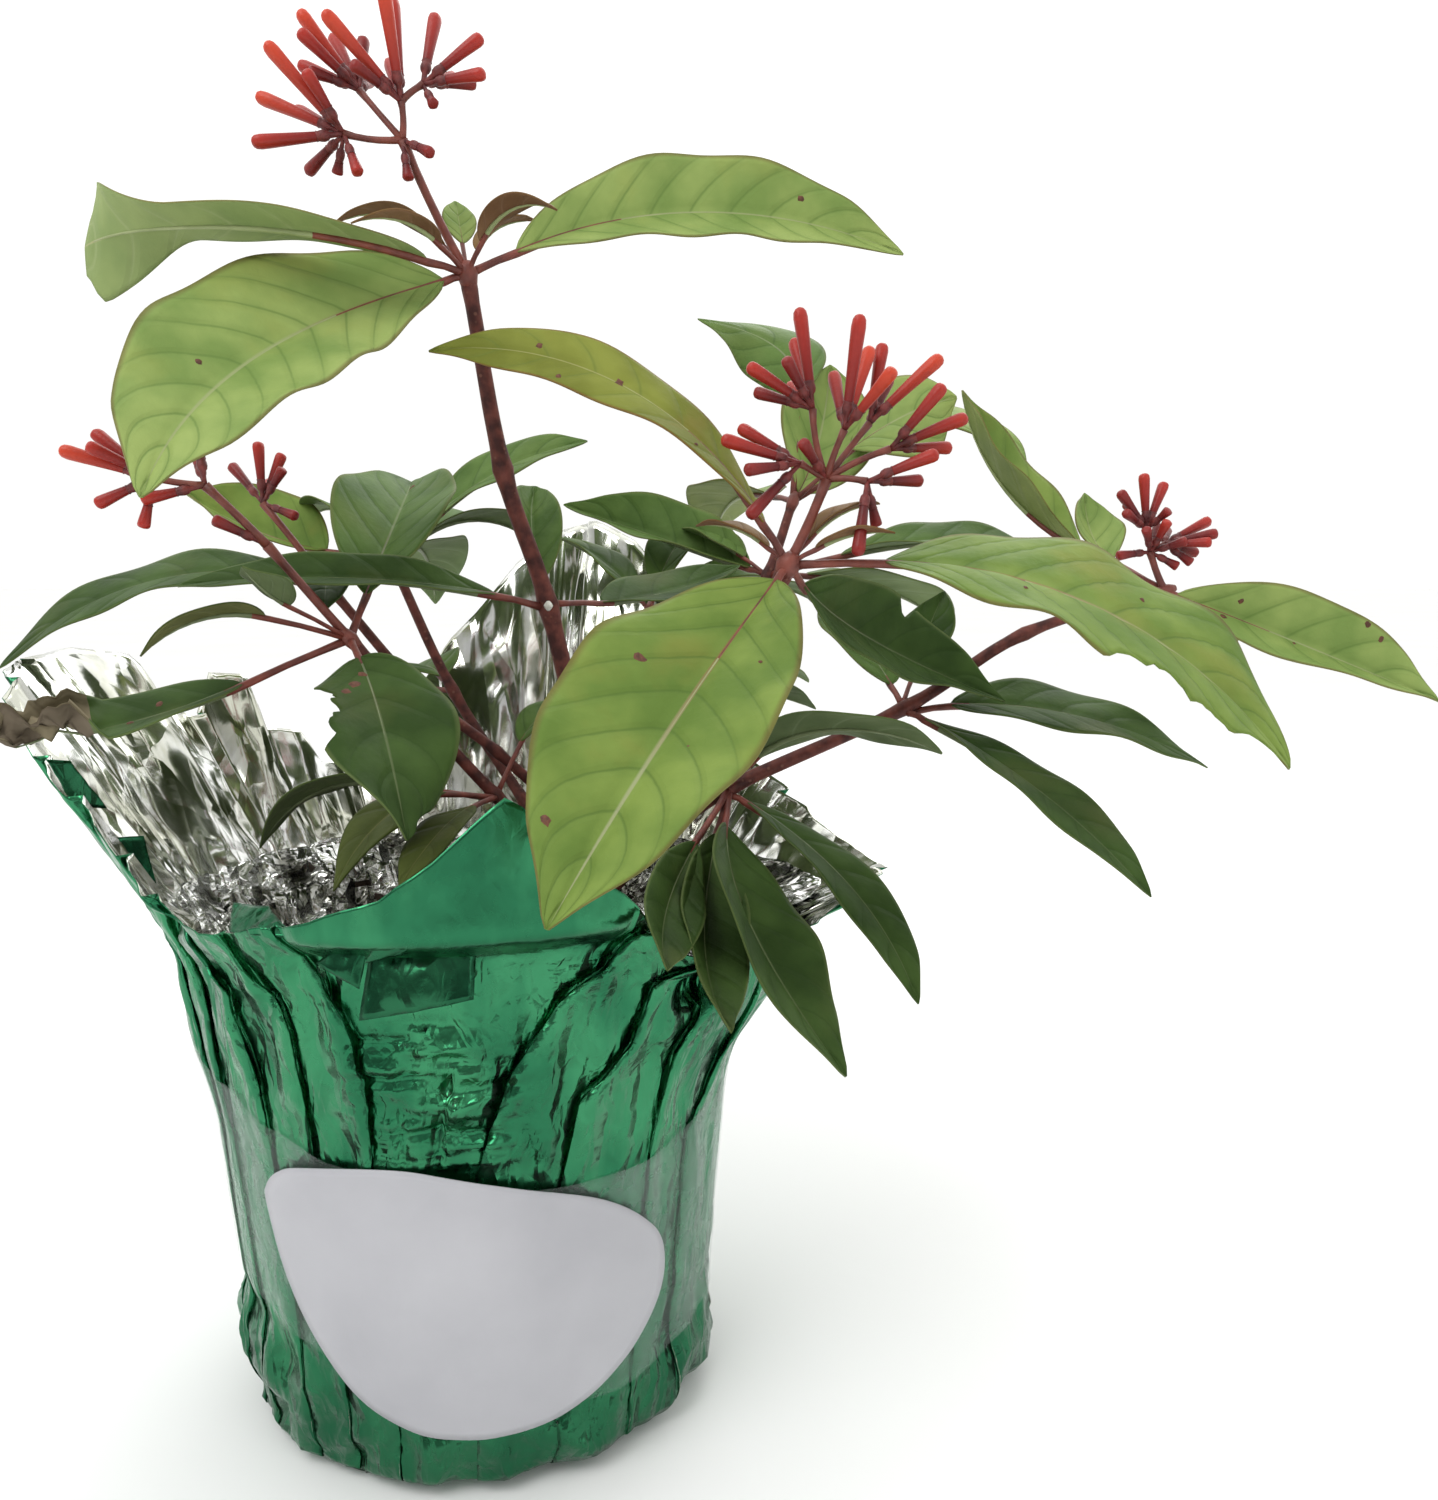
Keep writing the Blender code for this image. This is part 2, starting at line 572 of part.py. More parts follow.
    whorl_on_stem("inner_leaves", home, old, LEFT_FRONT_STEM, 1, (
        leaf(-160, 10, 0.032, 0.018, 76, 16, 0.030, -22, 4, -10),
        leaf(-113, 11, 0.039, 0.015, 78, -27, 0.022, 1, 4),
        leaf(-99, 1, 0.037, 0.012, 37, -11, 0.017, -14, 6, 19),
        leaf(60, 50, 0.024, 0.012, 50, -40, 0.016),
    ))


def rim_at(heading):
    """Reach and height of the collar's rim at a heading, in between RIM."""
    heading = (heading + 180.0) % 360.0 - 180.0
    stations = list(RIM) + [(RIM[0][0] + 360, RIM[0][1], RIM[0][2])]
    for (a, reach_a, high_a), (b, reach_b, high_b) in zip(stations, stations[1:]):
        if a <= heading <= b:
            t = (heading - a) / (b - a)
            t = t * t * (3 - 2 * t)
            return reach_a + (reach_b - reach_a) * t, high_a + (high_b - high_a) * t
    return RIM[0][1], RIM[0][2]


def build_foil_cover(home):
    """Pleated sheet, gathered round the pot and flaring into four corners."""
    finish = material("green_foil", (0.010, 0.220, 0.100), 0.28, 1.0)
    columns = PLEATS * 3
    crease = [(1.0, -0.55, -0.45)[i % 3] * random.uniform(0.6, 1.0) for i in range(columns)]
    bm = bmesh.new()
    rows = []

    def add_row(radius_of, height_of, depth):
        row = []
        for i in range(columns):
            heading = 360.0 * i / columns
            radius = radius_of(heading) + crease[i] * depth
            turn = radians(heading)
            row.append(bm.verts.new((radius * cos(turn), radius * sin(turn), height_of(heading))))
        rows.append(row)

    add_row(lambda h: FOIL_FOOT_RADIUS, lambda h: 0.0, 0.0)
    for height, radius in BODY_PROFILE:
        depth = 0.0006 if height < BAND_TOP + 0.005 else 0.0012
        add_row(lambda h, r=radius: r, lambda h, z=height: z, depth)
    for share in (0.33, 0.67, 1.0):
        add_row(lambda h, t=share: NECK_RADIUS + (rim_at(h)[0] - NECK_RADIUS) * t ** 1.2,
                lambda h, t=share: NECK_HEIGHT + (rim_at(h)[1] - NECK_HEIGHT) * t,
                0.0014 + 0.0014 * share)
    for low, high in zip(rows, rows[1:]):
        for i in range(columns):
            j = (i + 1) % columns
            bm.faces.new((low[i], low[j], high[j], high[i]))
    bm.faces.new(list(reversed(rows[0])))
    made = add_mesh("foil_cover", bm, home, finish, closed=False)
    wall = made.modifiers.new("wall", "SOLIDIFY")
    wall.thickness = FOIL_THICKNESS
    wall.offset = -1.0
    return made


def build_nursery_pot(home):
    """Turned plastic pot with a rolled rim, standing inside the foil."""
    finish = material("black_plastic", (0.012, 0.012, 0.013), 0.5)
    floor = FOIL_THICKNESS + GAP
    top = POT_HEIGHT
    foot = POT_FOOT_RADIUS - POT_ROLL
    wall = POT_RIM_RADIUS - POT_ROLL
    outline = [
        (0.0, floor + POT_WALL), (foot - POT_WALL, floor + POT_WALL + POT_EDGE),
        (wall - POT_WALL, top - POT_RIM_HEIGHT), (POT_RIM_RADIUS - POT_WALL, top),
        (POT_RIM_RADIUS, top), (POT_RIM_RADIUS, top - POT_RIM_HEIGHT + POT_ROLL),
        (wall, top - POT_RIM_HEIGHT + POT_EDGE), (POT_FOOT_RADIUS, floor + POT_ROLL),
        (foot, floor), (0.0, floor),
    ]
    bm = bmesh.new()
    verts = [bm.verts.new((radius, 0.0, height)) for radius, height in outline]
    edges = [bm.edges.new((a, b)) for a, b in zip(verts, verts[1:])]
    bmesh.ops.spin(bm, geom=verts + edges, cent=(0, 0, 0), axis=(0, 0, 1), angle=2 * pi, steps=24,
                   use_merge=True)
    bmesh.ops.remove_doubles(bm, verts=bm.verts, dist=0.00001)
    return add_mesh("nursery_pot", bm, home, finish)


def build_soil(home):
    """Potting mix that fills the pot, 0.3 mm clear of its wall."""
    finish = material("potting_mix", (0.045, 0.028, 0.018), 0.95)
    foot = FOIL_THICKNESS + 2 * GAP + POT_WALL + POT_EDGE
    low = POT_FOOT_RADIUS - POT_ROLL - POT_WALL - 2 * GAP
    brim = POT_RIM_RADIUS - POT_ROLL - POT_WALL - 2 * GAP
    share = (SOIL_LEVEL - foot) / (POT_HEIGHT - POT_RIM_HEIGHT - foot)
    high = low + (brim - low) * share
    bm = bmesh.new()
    bmesh.ops.create_cone(bm, cap_ends=True, segments=24, radius1=low, radius2=high, depth=SOIL_LEVEL - foot)
    bmesh.ops.translate(bm, verts=bm.verts, vec=(0, 0, (SOIL_LEVEL + foot) / 2))
    return add_mesh("potting_soil", bm, home, finish)


def body_radius(height):
    """Outermost radius of the foil body's pleats at a height."""
    for (low, radius_low), (high, radius_high) in zip(BODY_PROFILE, BODY_PROFILE[1:]):
        if height <= high:
            return radius_low + (radius_high - radius_low) * (height - low) / (high - low) + 0.0006
    return BODY_PROFILE[-1][1] + 0.0006


def build_band(home):
    """Clear tape round the foil, a thin ring just outside the pleats."""
    finish = material("clear_tape", (0.55, 0.62, 0.60), 0.25)
    inner = [(body_radius(h) + GAP, h) for h in (BAND_BOTTOM, BAND_TOP)]
    outer = [(radius + BAND_THICKNESS, h) for radius, h in reversed(inner)]
    bm = bmesh.new()
    verts = [bm.verts.new((radius, 0.0, height)) for radius, height in inner + outer]
    edges = [bm.edges.new((a, b)) for a, b in zip(verts, verts[1:] + verts[:1])]
    bmesh.ops.spin(bm, geom=verts + edges, cent=(0, 0, 0), axis=(0, 0, 1), angle=2 * pi, steps=PLEATS * 2,
                   use_merge=True)
    bmesh.ops.remove_doubles(bm, verts=bm.verts, dist=0.00001)
    return add_mesh("clear_band", bm, home, finish)


def label_half_width(share):
    """Egg-like outline: half width at a share of the label's height."""
    return 0.5 * (max(0.0, 1.0 - abs(2 * share - 1.22) ** 2.6 / 1.22 ** 2.6)) ** 0.5 + 0.02


def build_label(home):
    """Bare paper label over the band, narrower towards its lower end."""
    finish = material("bare_label", (0.72, 0.73, 0.76), 0.55)
    rows, columns = 12, 12
    bm = bmesh.new()
    grid = []
    for i in range(rows + 1):
        share = 1 - cos(pi / 2 * i / rows)
        height = LABEL_BOTTOM + (LABEL_TOP - LABEL_BOTTOM) * share
        radius = body_radius(height) + 2 * GAP + BAND_THICKNESS + LABEL_CURVE
        half = label_half_width(share) * LABEL_WIDTH / radius
        row = []
        for k in range(columns + 1):
            turn = radians(LABEL_HEADING) + half * (2 * k / columns - 1)
            row.append(bm.verts.new((radius * cos(turn), radius * sin(turn), height)))
        grid.append(row)
    for low, high in zip(grid, grid[1:]):
        for k in range(columns):
            bm.faces.new((low[k], low[k + 1], high[k + 1], high[k]))
    made = add_mesh("bare_label", bm, home, finish, closed=False)
    wall = made.modifiers.new("wall", "SOLIDIFY")
    wall.thickness = LABEL_THICKNESS
    wall.offset = 1.0
    return made


def build():
    clear_scene()
    home = bpy.data.collections.new("potted_firebush")
    bpy.context.scene.collection.children.link(home)
    build_foil_cover(home)
    build_nursery_pot(home)
    build_soil(home)
    build_band(home)
    build_label(home)
    build_plant(home)


build()
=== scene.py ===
"""Looks of the flowering firebush in its nursery pot wrapped in pleated foil.

Metres, +Z up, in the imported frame. The origin is the middle of the foil's
flat underside, and the front with the bare label looks towards -Y.
"""
import random
from math import cos, degrees, exp, pi, radians, sin

import bmesh
import bpy
from mathutils import Matrix, Vector, noise


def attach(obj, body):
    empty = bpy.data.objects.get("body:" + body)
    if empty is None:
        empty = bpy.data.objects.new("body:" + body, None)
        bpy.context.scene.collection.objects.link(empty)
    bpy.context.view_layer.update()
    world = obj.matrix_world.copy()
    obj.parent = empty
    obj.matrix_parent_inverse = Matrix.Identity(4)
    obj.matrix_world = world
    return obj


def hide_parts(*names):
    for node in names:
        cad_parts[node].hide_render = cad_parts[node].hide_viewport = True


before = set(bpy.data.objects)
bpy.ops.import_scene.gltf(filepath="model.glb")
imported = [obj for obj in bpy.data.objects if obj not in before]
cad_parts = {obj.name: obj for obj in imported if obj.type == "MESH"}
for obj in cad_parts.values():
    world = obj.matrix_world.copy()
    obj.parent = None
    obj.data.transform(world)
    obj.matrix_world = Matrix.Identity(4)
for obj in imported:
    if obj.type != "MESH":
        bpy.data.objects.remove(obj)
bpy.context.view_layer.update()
random.seed(7)


# Tables are held in whole numbers

def in_metres(rows, first=1):
    """Rows whose numbers from place first on are tenths of a millimetre."""
    return [(*row[:first], *(number / 10000 for number in row[first:])) for row in rows]


def thousandths(value):
    if isinstance(value, tuple):
        return tuple(thousandths(part) for part in value)
    return value and value / 1000


def closed(rows):
    """Table of headings whose first row comes again a full turn later."""
    return [*rows, (rows[0][0] + 360, *rows[0][1:])]


# Sizes of the pot, the foil and the label
FOIL_FOOT_RADIUS = 0.0525
SOIL_LEVEL = 0.103
SOIL_RADIUS = 0.0602
SOIL_FLOOR_RADIUS, SOIL_FLOOR = 0.0475, 0.004
# Mound of soil round the stem: its middle across and back, its width and rise
MOUND = (0.028, 0.003, 0.012, 0.0022)
CRUMBS, CRUMB_SIZES = 330, (0.0006, 0.0019)
LABEL_HEADING, LABEL_RADIUS = -82, 0.0635
LABEL_MIDDLE = (0.003, 0.049)
FOIL_WALL, TAPE_WALL, LABEL_WALL, LEAF_WALL = 0.00025, 0.0002, 0.0003, 0.00035
# How far the wrap leans right, and the lining sits below and inside the rim
LEAN, LINING_DROP, LINING_GAP = 0.003, 0.0032, 0.0022
# How far the label stands off the wall, and a dead spot and its edge off a blade
LABEL_LIFT, SPOT_LIFT, SPOT_EDGE = 0.0022, 0.00045, 0.0001
MERGE_DISTANCE = 0.0000012
# Second map, as shares of crease and of painted shade: none, all of the lining, the small folds darkened with
# painted shade
UNMARKED, ALL_CREASED, FOLD_PAINTED_SHADE_MARK = (0.5, 0), (1, 0), (0.5, 0.62)
PANEL_HEADING = -84
# Heights at which the tape reads the foil's outline
TAPE_STEP, TAPE_LEVELS = 0.003, range(5, 36)
LABEL_OUTLINE = in_metres((
    (-325, 812), (-129, 836), (25, 808), (293, 715), (450, 590), (500, 485), (485, 375), (397, 270),
    (267, 195), (130, 168), (4, 168), (-122, 195), (-251, 275), (-361, 421), (-421, 562), (-448, 700),
    (-440, 740), (-400, 782),
), 0)
# Height and radius of the wall
BODY_PROFILE = in_metres(((0, 525), (30, 570), (160, 590), (780, 645), (1180, 695)), 0)
NECK_HEIGHT, NECK_RADIUS = BODY_PROFILE[-1]
# Heading, radius and height of the rim
RIM = closed(in_metres((
    (-180, 1110, 1860), (-170, 1060, 1800), (-158, 950, 1710), (-150, 880, 1600), (-143, 835, 1520),
    (-133, 790, 1400), (-127, 770, 1355), (-122, 760, 1345), (-116, 758, 1352), (-110, 758, 1378),
    (-105, 760, 1385), (-100, 765, 1405), (-96, 770, 1428), (-90, 778, 1448), (-87, 780, 1480),
    (-83, 783, 1514), (-75, 788, 1613), (-71, 790, 1655), (-66, 785, 1560), (-60, 778, 1480),
    (-54, 770, 1425), (-49, 762, 1360), (-44, 752, 1270), (-38, 748, 1235), (-33, 746, 1228),
    (-28, 758, 1232), (-23, 790, 1243), (-17, 852, 1268), (-10, 928, 1294), (0, 1008, 1308),
    (12, 1002, 1355), (25, 965, 1440), (38, 930, 1540), (50, 925, 1690), (57, 945, 1990),
    (66, 965, 2190), (75, 990, 2258), (82, 998, 2228), (90, 985, 2130), (98, 950, 1965),
    (104, 925, 1866), (110, 910, 1720), (114, 905, 1600), (118, 900, 1500), (123, 902, 1475),
    (131, 912, 1505), (133.5, 918, 1600), (141, 940, 1618), (143, 950, 1782), (149, 972, 1792),
    (151.5, 982, 1660), (158, 1015, 1725), (162, 1040, 1857), (171, 1085, 1885),
)))
# Height and radius of the front flap, with its step
FLAP_PROFILE = in_metres((
    (1180, 695), (1270, 700), (1308, 716), (1346, 778), (1358, 796), (1374, 800), (1700, 785),
), 0)
# Share of the way up, radius and height of the gathered lining
GATHERS_PROFILE = in_metres((
    (0, 540, 1062), (0.3, 585, 1112), (0.5, 618, 1168), (0.75, 655, 1222), (1, 690, 1285),
))
# Heading, upper edge and lower edge of the tape
TAPE_EDGES = closed(in_metres((
    (-180, 980, 440), (-132, 947, 400), (-118, 885, 360), (-105, 827, 300), (-79, 762, 220),
    (-47, 747, 185), (-20, 800, 220), (30, 900, 330), (90, 970, 420), (150, 990, 450),
)))
# Pleat edges as (raised side, places of height and heading): the raised side
# is -1 where the panel of lower heading lies on top
FRONT_PLEATS = (
    (-1, ((0, -119), (0.098, -121), (0.115, -124.7), (0.13, -125), (0.18, -136))),
    (-1, ((0, -108), (0.1, -110.4), (0.113, -110.8), (0.124, -113.1), (0.18, -120))),
    (-1, ((0, -96), (0.091, -96.9), (0.104, -96.8), (0.115, -98.9), (0.129, -102.1), (0.18, -109))),
    (1, ((0, -79), (0.081, -77), (0.104, -70), (0.119, -62.2), (0.132, -54.4), (0.18, -44))),
    (1, ((0, -62), (0.075, -61.3), (0.0945, -57.5), (0.105, -48), (0.118, -44), (0.18, -33))),
    (1, ((0, -44), (0.077, -41.2), (0.099, -37.1), (0.11, -30.6), (0.18, -20))),
    (1, ((0, -30), (0.076, -29.6), (0.084, -23), (0.1, -17), (0.18, -8))),
)
# The same for pleats that start and end on the wall: raised side, start, end
SHORT_PLEATS = (
    (-1, 0.082, 0.101, ((0.08, -91.3), (0.104, -91.2))),
    (1, 0.08, 0.11, ((0.08, -84), (0.094, -82.5), (0.112, -79))),
    (1, 0.078, 0.096, ((0.076, -67.7), (0.082, -65.2), (0.096, -69.1))),
)
# Heading and drift of the pleats round the sides and back
BACK_PLEATS = (
    (-9, 4), (8, -5), (22, 4), (37, -4), (53, 3), (70, 5), (87, -4), (103, 3), (116, 2), (128, -3),
    (139.5, 2), (150, 1), (162, -2), (175, 3), (189, -3), (201, 3), (213, -2), (224, -3),
)
# Rows of the wall, and the height each comes to
WALL_ROWS = ((0, 0), (4, 0.004), (28, 0.042), (40, 0.074), (82, NECK_HEIGHT))
# Places pressed in or pushed out: heading, height, half width, half height, depth
DENTS = (
    (-33, 0.1145, 6, 0.005, -0.005), (-134, 0.1335, 5, 0.003, -0.003),
    (-152, 0.0345, 22, 0.004, -0.0008), (-10, 0.116, 24, 0.02, 0.008), (-25, 0.006, 42, 0.01, 0.003),
    (-155, 0.02, 28, 0.0085, 0.0032), (-26, 0.02, 20, 0.008, 0.0008), (-60, 0.099, 5, 0.008, -0.0012),
    (-118, 0.106, 4, 0.009, -0.0012),
)
# Small folds of foil: corners as (heading, radius, height), seen from outside
# from the low left one round to the high left one
FOIL_FOLDS = (
    ((-94.2, 758, 1195), (-77, 755, 1235), (-76.3, 722, 1335), (-93, 720, 1334)),
    ((-92.6, 765, 1318), (-84, 765, 1345), (-81.4, 785, 1378), (-90.1, 785, 1371)),
    ((-100.7, 758, 1309), (-94, 755, 1260), (-93, 730, 1343), (-97.1, 730, 1351)),
    ((-115.5, 772, 1359), (-102.6, 770, 1363), (-111.5, 712, 1403), (-119.5, 712, 1399)),
    ((-151.4, 876, 1564), (-152.6, 812, 1552), (-151.3, 880, 1668), (-150.4, 926, 1677)),
    ((-153.7, 755, 1374), (-154.1, 735, 1364), (-154, 739, 1479), (-152.4, 822, 1485)),
)

# Stems from foot to tip: across, back, up and radius, as in the frame's source
STEMS = {name: [(Vector(row[:3]), row[3]) for row in in_metres(rows, 0)] for name, rows in {
    "main_stem": (
        (280, 30, 1033, 52), (300, 20, 1250, 34), (315, 10, 1550, 30), (230, 0, 2000, 27),
        (134, -50, 2330, 25), (80, -150, 2760, 21),
    ),
    "left_front_stem": (
        (269, -13, 1330, 20), (100, -80, 1530, 19), (-20, -150, 1690, 17), (-180, -300, 1930, 16),
    ),
    "left_back_stem": (
        (279, 44, 1440, 18), (80, 60, 1620, 17), (-120, 70, 1780, 16), (-330, 50, 2040, 15),
    ),
    "right_front_stem": (
        (358, -6, 1400, 24), (480, -60, 1490, 25), (660, -200, 1760, 25), (810, -400, 2095, 23),
    ),
    "right_back_stem": (
        (347, 46, 1500, 22), (480, 220, 1640, 21), (680, 380, 1860, 20), (800, 450, 2080, 18),
        (875, 520, 2290, 16),
    ),
    "right_stem": (
        (354, 27, 1240, 24), (500, 30, 1380, 23), (680, 0, 1530, 23), (1140, 50, 1735, 20),
        (1457, 100, 1925, 18), (1835, 150, 2035, 15),
    ),
    "back_left_stem": (
        (282, 63, 1260, 20), (120, 250, 1450, 19), (-100, 380, 1750, 18), (-280, 450, 2120, 16),
    ),
    "back_stem": (
        (319, 65, 1320, 21), (370, 270, 1500, 20), (420, 480, 1750, 18), (450, 600, 1970, 16),
    ),
}.items()}
LEAST_ROWS, ROWS_A_METRE, BITTEN_ROWS, VEINS_A_METRE = 18, 380, 16, 90
# Length of the main stem in the soil and of a shoot's swollen tip, and how
# thick the bark is beside the frame's stems
ROOT_STUB = 0.002
SHOOT_FOOT = 0.003
BARK_SHARE = 0.8

# Tones of each kind of leaf in thousandths: low, high, rib, foot of the rib,
# veins, darker on the tops as painted shade in the sunken veins; how clear
# the veins are, roughness, margin, blotches, end of the red
MARGIN = (150, 95, 40)
TOP_TONES = {
    "pale": ((185, 275, 75), (290, 375, 115), (320, 360, 170), (270, 130, 80), (120, 200, 50),
        550, 500, MARGIN, (300, 330, 80)),
    "fresh": ((116, 190, 38), (192, 272, 60), (340, 360, 200), (260, 100, 60), (80, 140, 30),
        500, 520, MARGIN, (235, 225, 50), (250, 620)),
    "lime": ((146, 166, 26), (222, 250, 48), (330, 330, 130), (300, 110, 60), (125, 165, 34),
        450, 520, (220, 90, 40), (270, 160, 45)),
    "middle": ((62, 118, 26), (108, 182, 46), (200, 250, 120), (200, 110, 70), (42, 85, 20),
        400, 500, (150, 170, 60), (140, 190, 55)),
    "dark": ((29, 58, 13), (56, 102, 25), (120, 155, 70), (140, 70, 50), (24, 50, 11),
        300, 500, (130, 170, 60), (85, 105, 30)),
    "olive": ((46, 62, 15), (86, 108, 28), (150, 150, 60), (150, 70, 40), (45, 52, 14),
        350, 500, None, (120, 85, 30)),
    "bronze": ((150, 80, 32), (235, 140, 55), (300, 190, 100), (250, 70, 50), (130, 60, 30),
        400, 500, None, (180, 190, 60)),
    "dried": ((70, 56, 32), (230, 195, 125), (130, 100, 70), (100, 70, 50), (45, 34, 22),
        600, 800, None, (60, 44, 28)),
}
UNDERSIDE_TONES = {
    "pale": ((200, 270, 100), (270, 340, 130), (360, 360, 190), (340, 160, 100), (290, 350, 160),
        500, 600),
    "fresh": ((190, 240, 80), (260, 310, 110), (360, 360, 180), (340, 160, 100), (280, 320, 140),
        500, 600),
    "lime": ((210, 230, 60), (290, 310, 90), (360, 340, 160), (340, 160, 100), (300, 310, 120),
        500, 600),
    "middle": ((120, 170, 70), (175, 235, 100), (270, 300, 160), (270, 150, 100), (200, 260, 130),
        500, 600),
    "dark": ((85, 118, 52), (125, 165, 75), (210, 240, 130), (200, 120, 80), (150, 190, 100),
        500, 600),
    "olive": ((100, 110, 40), (145, 155, 60), (230, 220, 110), (200, 110, 70), (170, 180, 80),
        500, 600),
    "bronze": ((160, 85, 45), (240, 140, 75), (300, 180, 100), (260, 90, 60), (220, 130, 80),
        500, 600),
    "dried": ((80, 62, 43), (170, 140, 100), (130, 100, 70), (100, 70, 50), (60, 45, 30),
        600, 800),
}
LOOKS = tuple(TOP_TONES)

# Share of a closed flower's length, and its radius
TUBE = (
    (0, 0.0008), (0.04, 0.0009), (0.2, 0.00098), (0.45, 0.00112), (0.7, 0.00127), (0.86, 0.00134),
    (0.94, 0.0012), (0.98, 0.00085), (1, 0.00035),
)
# Flower clusters in tenths of a millimetre. Arms: name, start, angle in the
# picture, angle towards the camera, length, radius. Flowers: their arm, then
# for each the two angles, the length and the tone
CLUSTERS = {
    "top_leaves_and_flowers": ((
        ("fork", "node", 114, 18, 300, 11), ("left", "fork", 176, 5, 125, 8),
        ("upper", "fork", 131, -10, 150, 8), ("middle", "fork", 87, 10, 75, 8),
        ("right", "middle", 45, -20, 65, 8),
    ), (
        ("left", (191, 15, 165, 2), (155, -5, 185, 1), (131, 20, 190, 1), (148, -30, 150, 2),
         (118, 35, 110, 2), (292, 20, 80, 2), (250, -20, 55, 3), (205, -35, 120, 3)),
        ("upper", (152, -15, 140, 2), (117, -25, 160, 2), (128, 10, 160, 1), (138, 30, 130, 2),
         (90, -20, 110, 3), (100, -60, 140, 2), (165, 25, 80, 3)),
        ("middle", (132, 25, 190, 1), (95, -8, 205, 2), (93, 22, 190, 1), (112, -40, 150, 2),
         (150, 45, 100, 3)),
        ("right", (84, -20, 160, 2), (38, 0, 140, 2), (4, 15, 120, 2), (60, -60, 130, 2),
         (18, -35, 100, 3), (300, 35, 50, 3)),
        ("fork", (280, 10, 60, 3), (330, 30, 70, 3)),
    )),
    "left_front_leaves_and_flowers": ((
        ("middle", "node", 124, 22, 270, 11), ("fork", "middle", 131, 16, 170, 10),
        ("far", "fork", 172, 12, 100, 8),
    ), (
        ("far", (162, 15, 155, 1), (144, -5, 130, 2), (148, 30, 110, 2), (205, 10, 100, 2),
         (258, 10, 75, 2)),
        ("fork", (196, 20, 100, 2), (120, -35, 120, 2), (100, -10, 100, 3)),
        ("middle", (150, 25, 90, 3)),
    )),
    "left_back_leaves_and_flowers": ((
        ("fork", "node", 127, 0, 270, 10),
    ), (
        ("fork", (92, 0, 125, 2), (72, -15, 110, 2), (52, 15, 80, 3), (133, -20, 120, 3),
         (-20, 20, 80, 3), (110, -60, 110, 2)),
    )),
    "right_front_leaves_and_flowers": ((
        ("fork", "node", 66, 0, 200, 12), ("upper", "fork", 102, 0, 150, 8),
        ("left", "fork", 152, 20, 70, 8), ("middle", "fork", 71, 15, 110, 8),
        ("inner", "fork", 52, -15, 160, 8), ("right", "fork", 25, 0, 150, 8),
        ("low", "fork", -5, 20, 90, 8),
    ), (
        ("upper", (98, 0, 190, 2), (103, -25, 150, 2), (147, 10, 140, 2), (124, 30, 100, 3),
         (160, -20, 110, 3)),
        ("left", (165, 15, 150, 2), (148, -15, 130, 2), (190, 30, 110, 3), (225, 10, 130, 3)),
        ("middle", (84, 15, 200, 2), (72, -20, 180, 1), (96, -40, 150, 2), (50, 35, 140, 1)),
        ("inner", (80, -10, 150, 2), (64, -35, 120, 3), (44, 0, 185, 1), (60, -65, 130, 2)),
        ("right", (50, 10, 140, 2), (24, 0, 150, 2), (5, -20, 120, 2)),
        ("low", (22, 15, 130, 2), (3, -25, 110, 3), (261, 20, 140, 3), (285, -15, 70, 3)),
        ("upper", (120, -60, 130, 2)),
        ("fork", (130, 40, 90, 3)),
    )),
    "right_end_leaves_and_flowers": ((
        ("fork", "node", 113, 0, 110, 10), ("upper", "fork", 100, -10, 60, 8),
        ("right", "fork", 30, 5, 40, 8),
    ), (
        ("upper", (130, 10, 110, 3), (95, 0, 125, 2), (68, -10, 120, 2), (110, -50, 100, 3)),
        ("right", (28, -10, 125, 2), (14, 10, 115, 3), (2, 20, 95, 2), (-12, -20, 90, 3)),
        ("fork", (185, 15, 80, 3)),
        ("right", (45, -60, 100, 3)),
        ("upper", (150, 30, 80, 3), (50, 40, 60, 3)),
        ("fork", (75, 35, 80, 2), (60, -40, 90, 3), (120, 40, 70, 3), (20, 30, 75, 3),
         (-30, 15, 60, 3)),
        ("right", (-35, 10, 65, 3)),
    )),
}


# Shader helpers

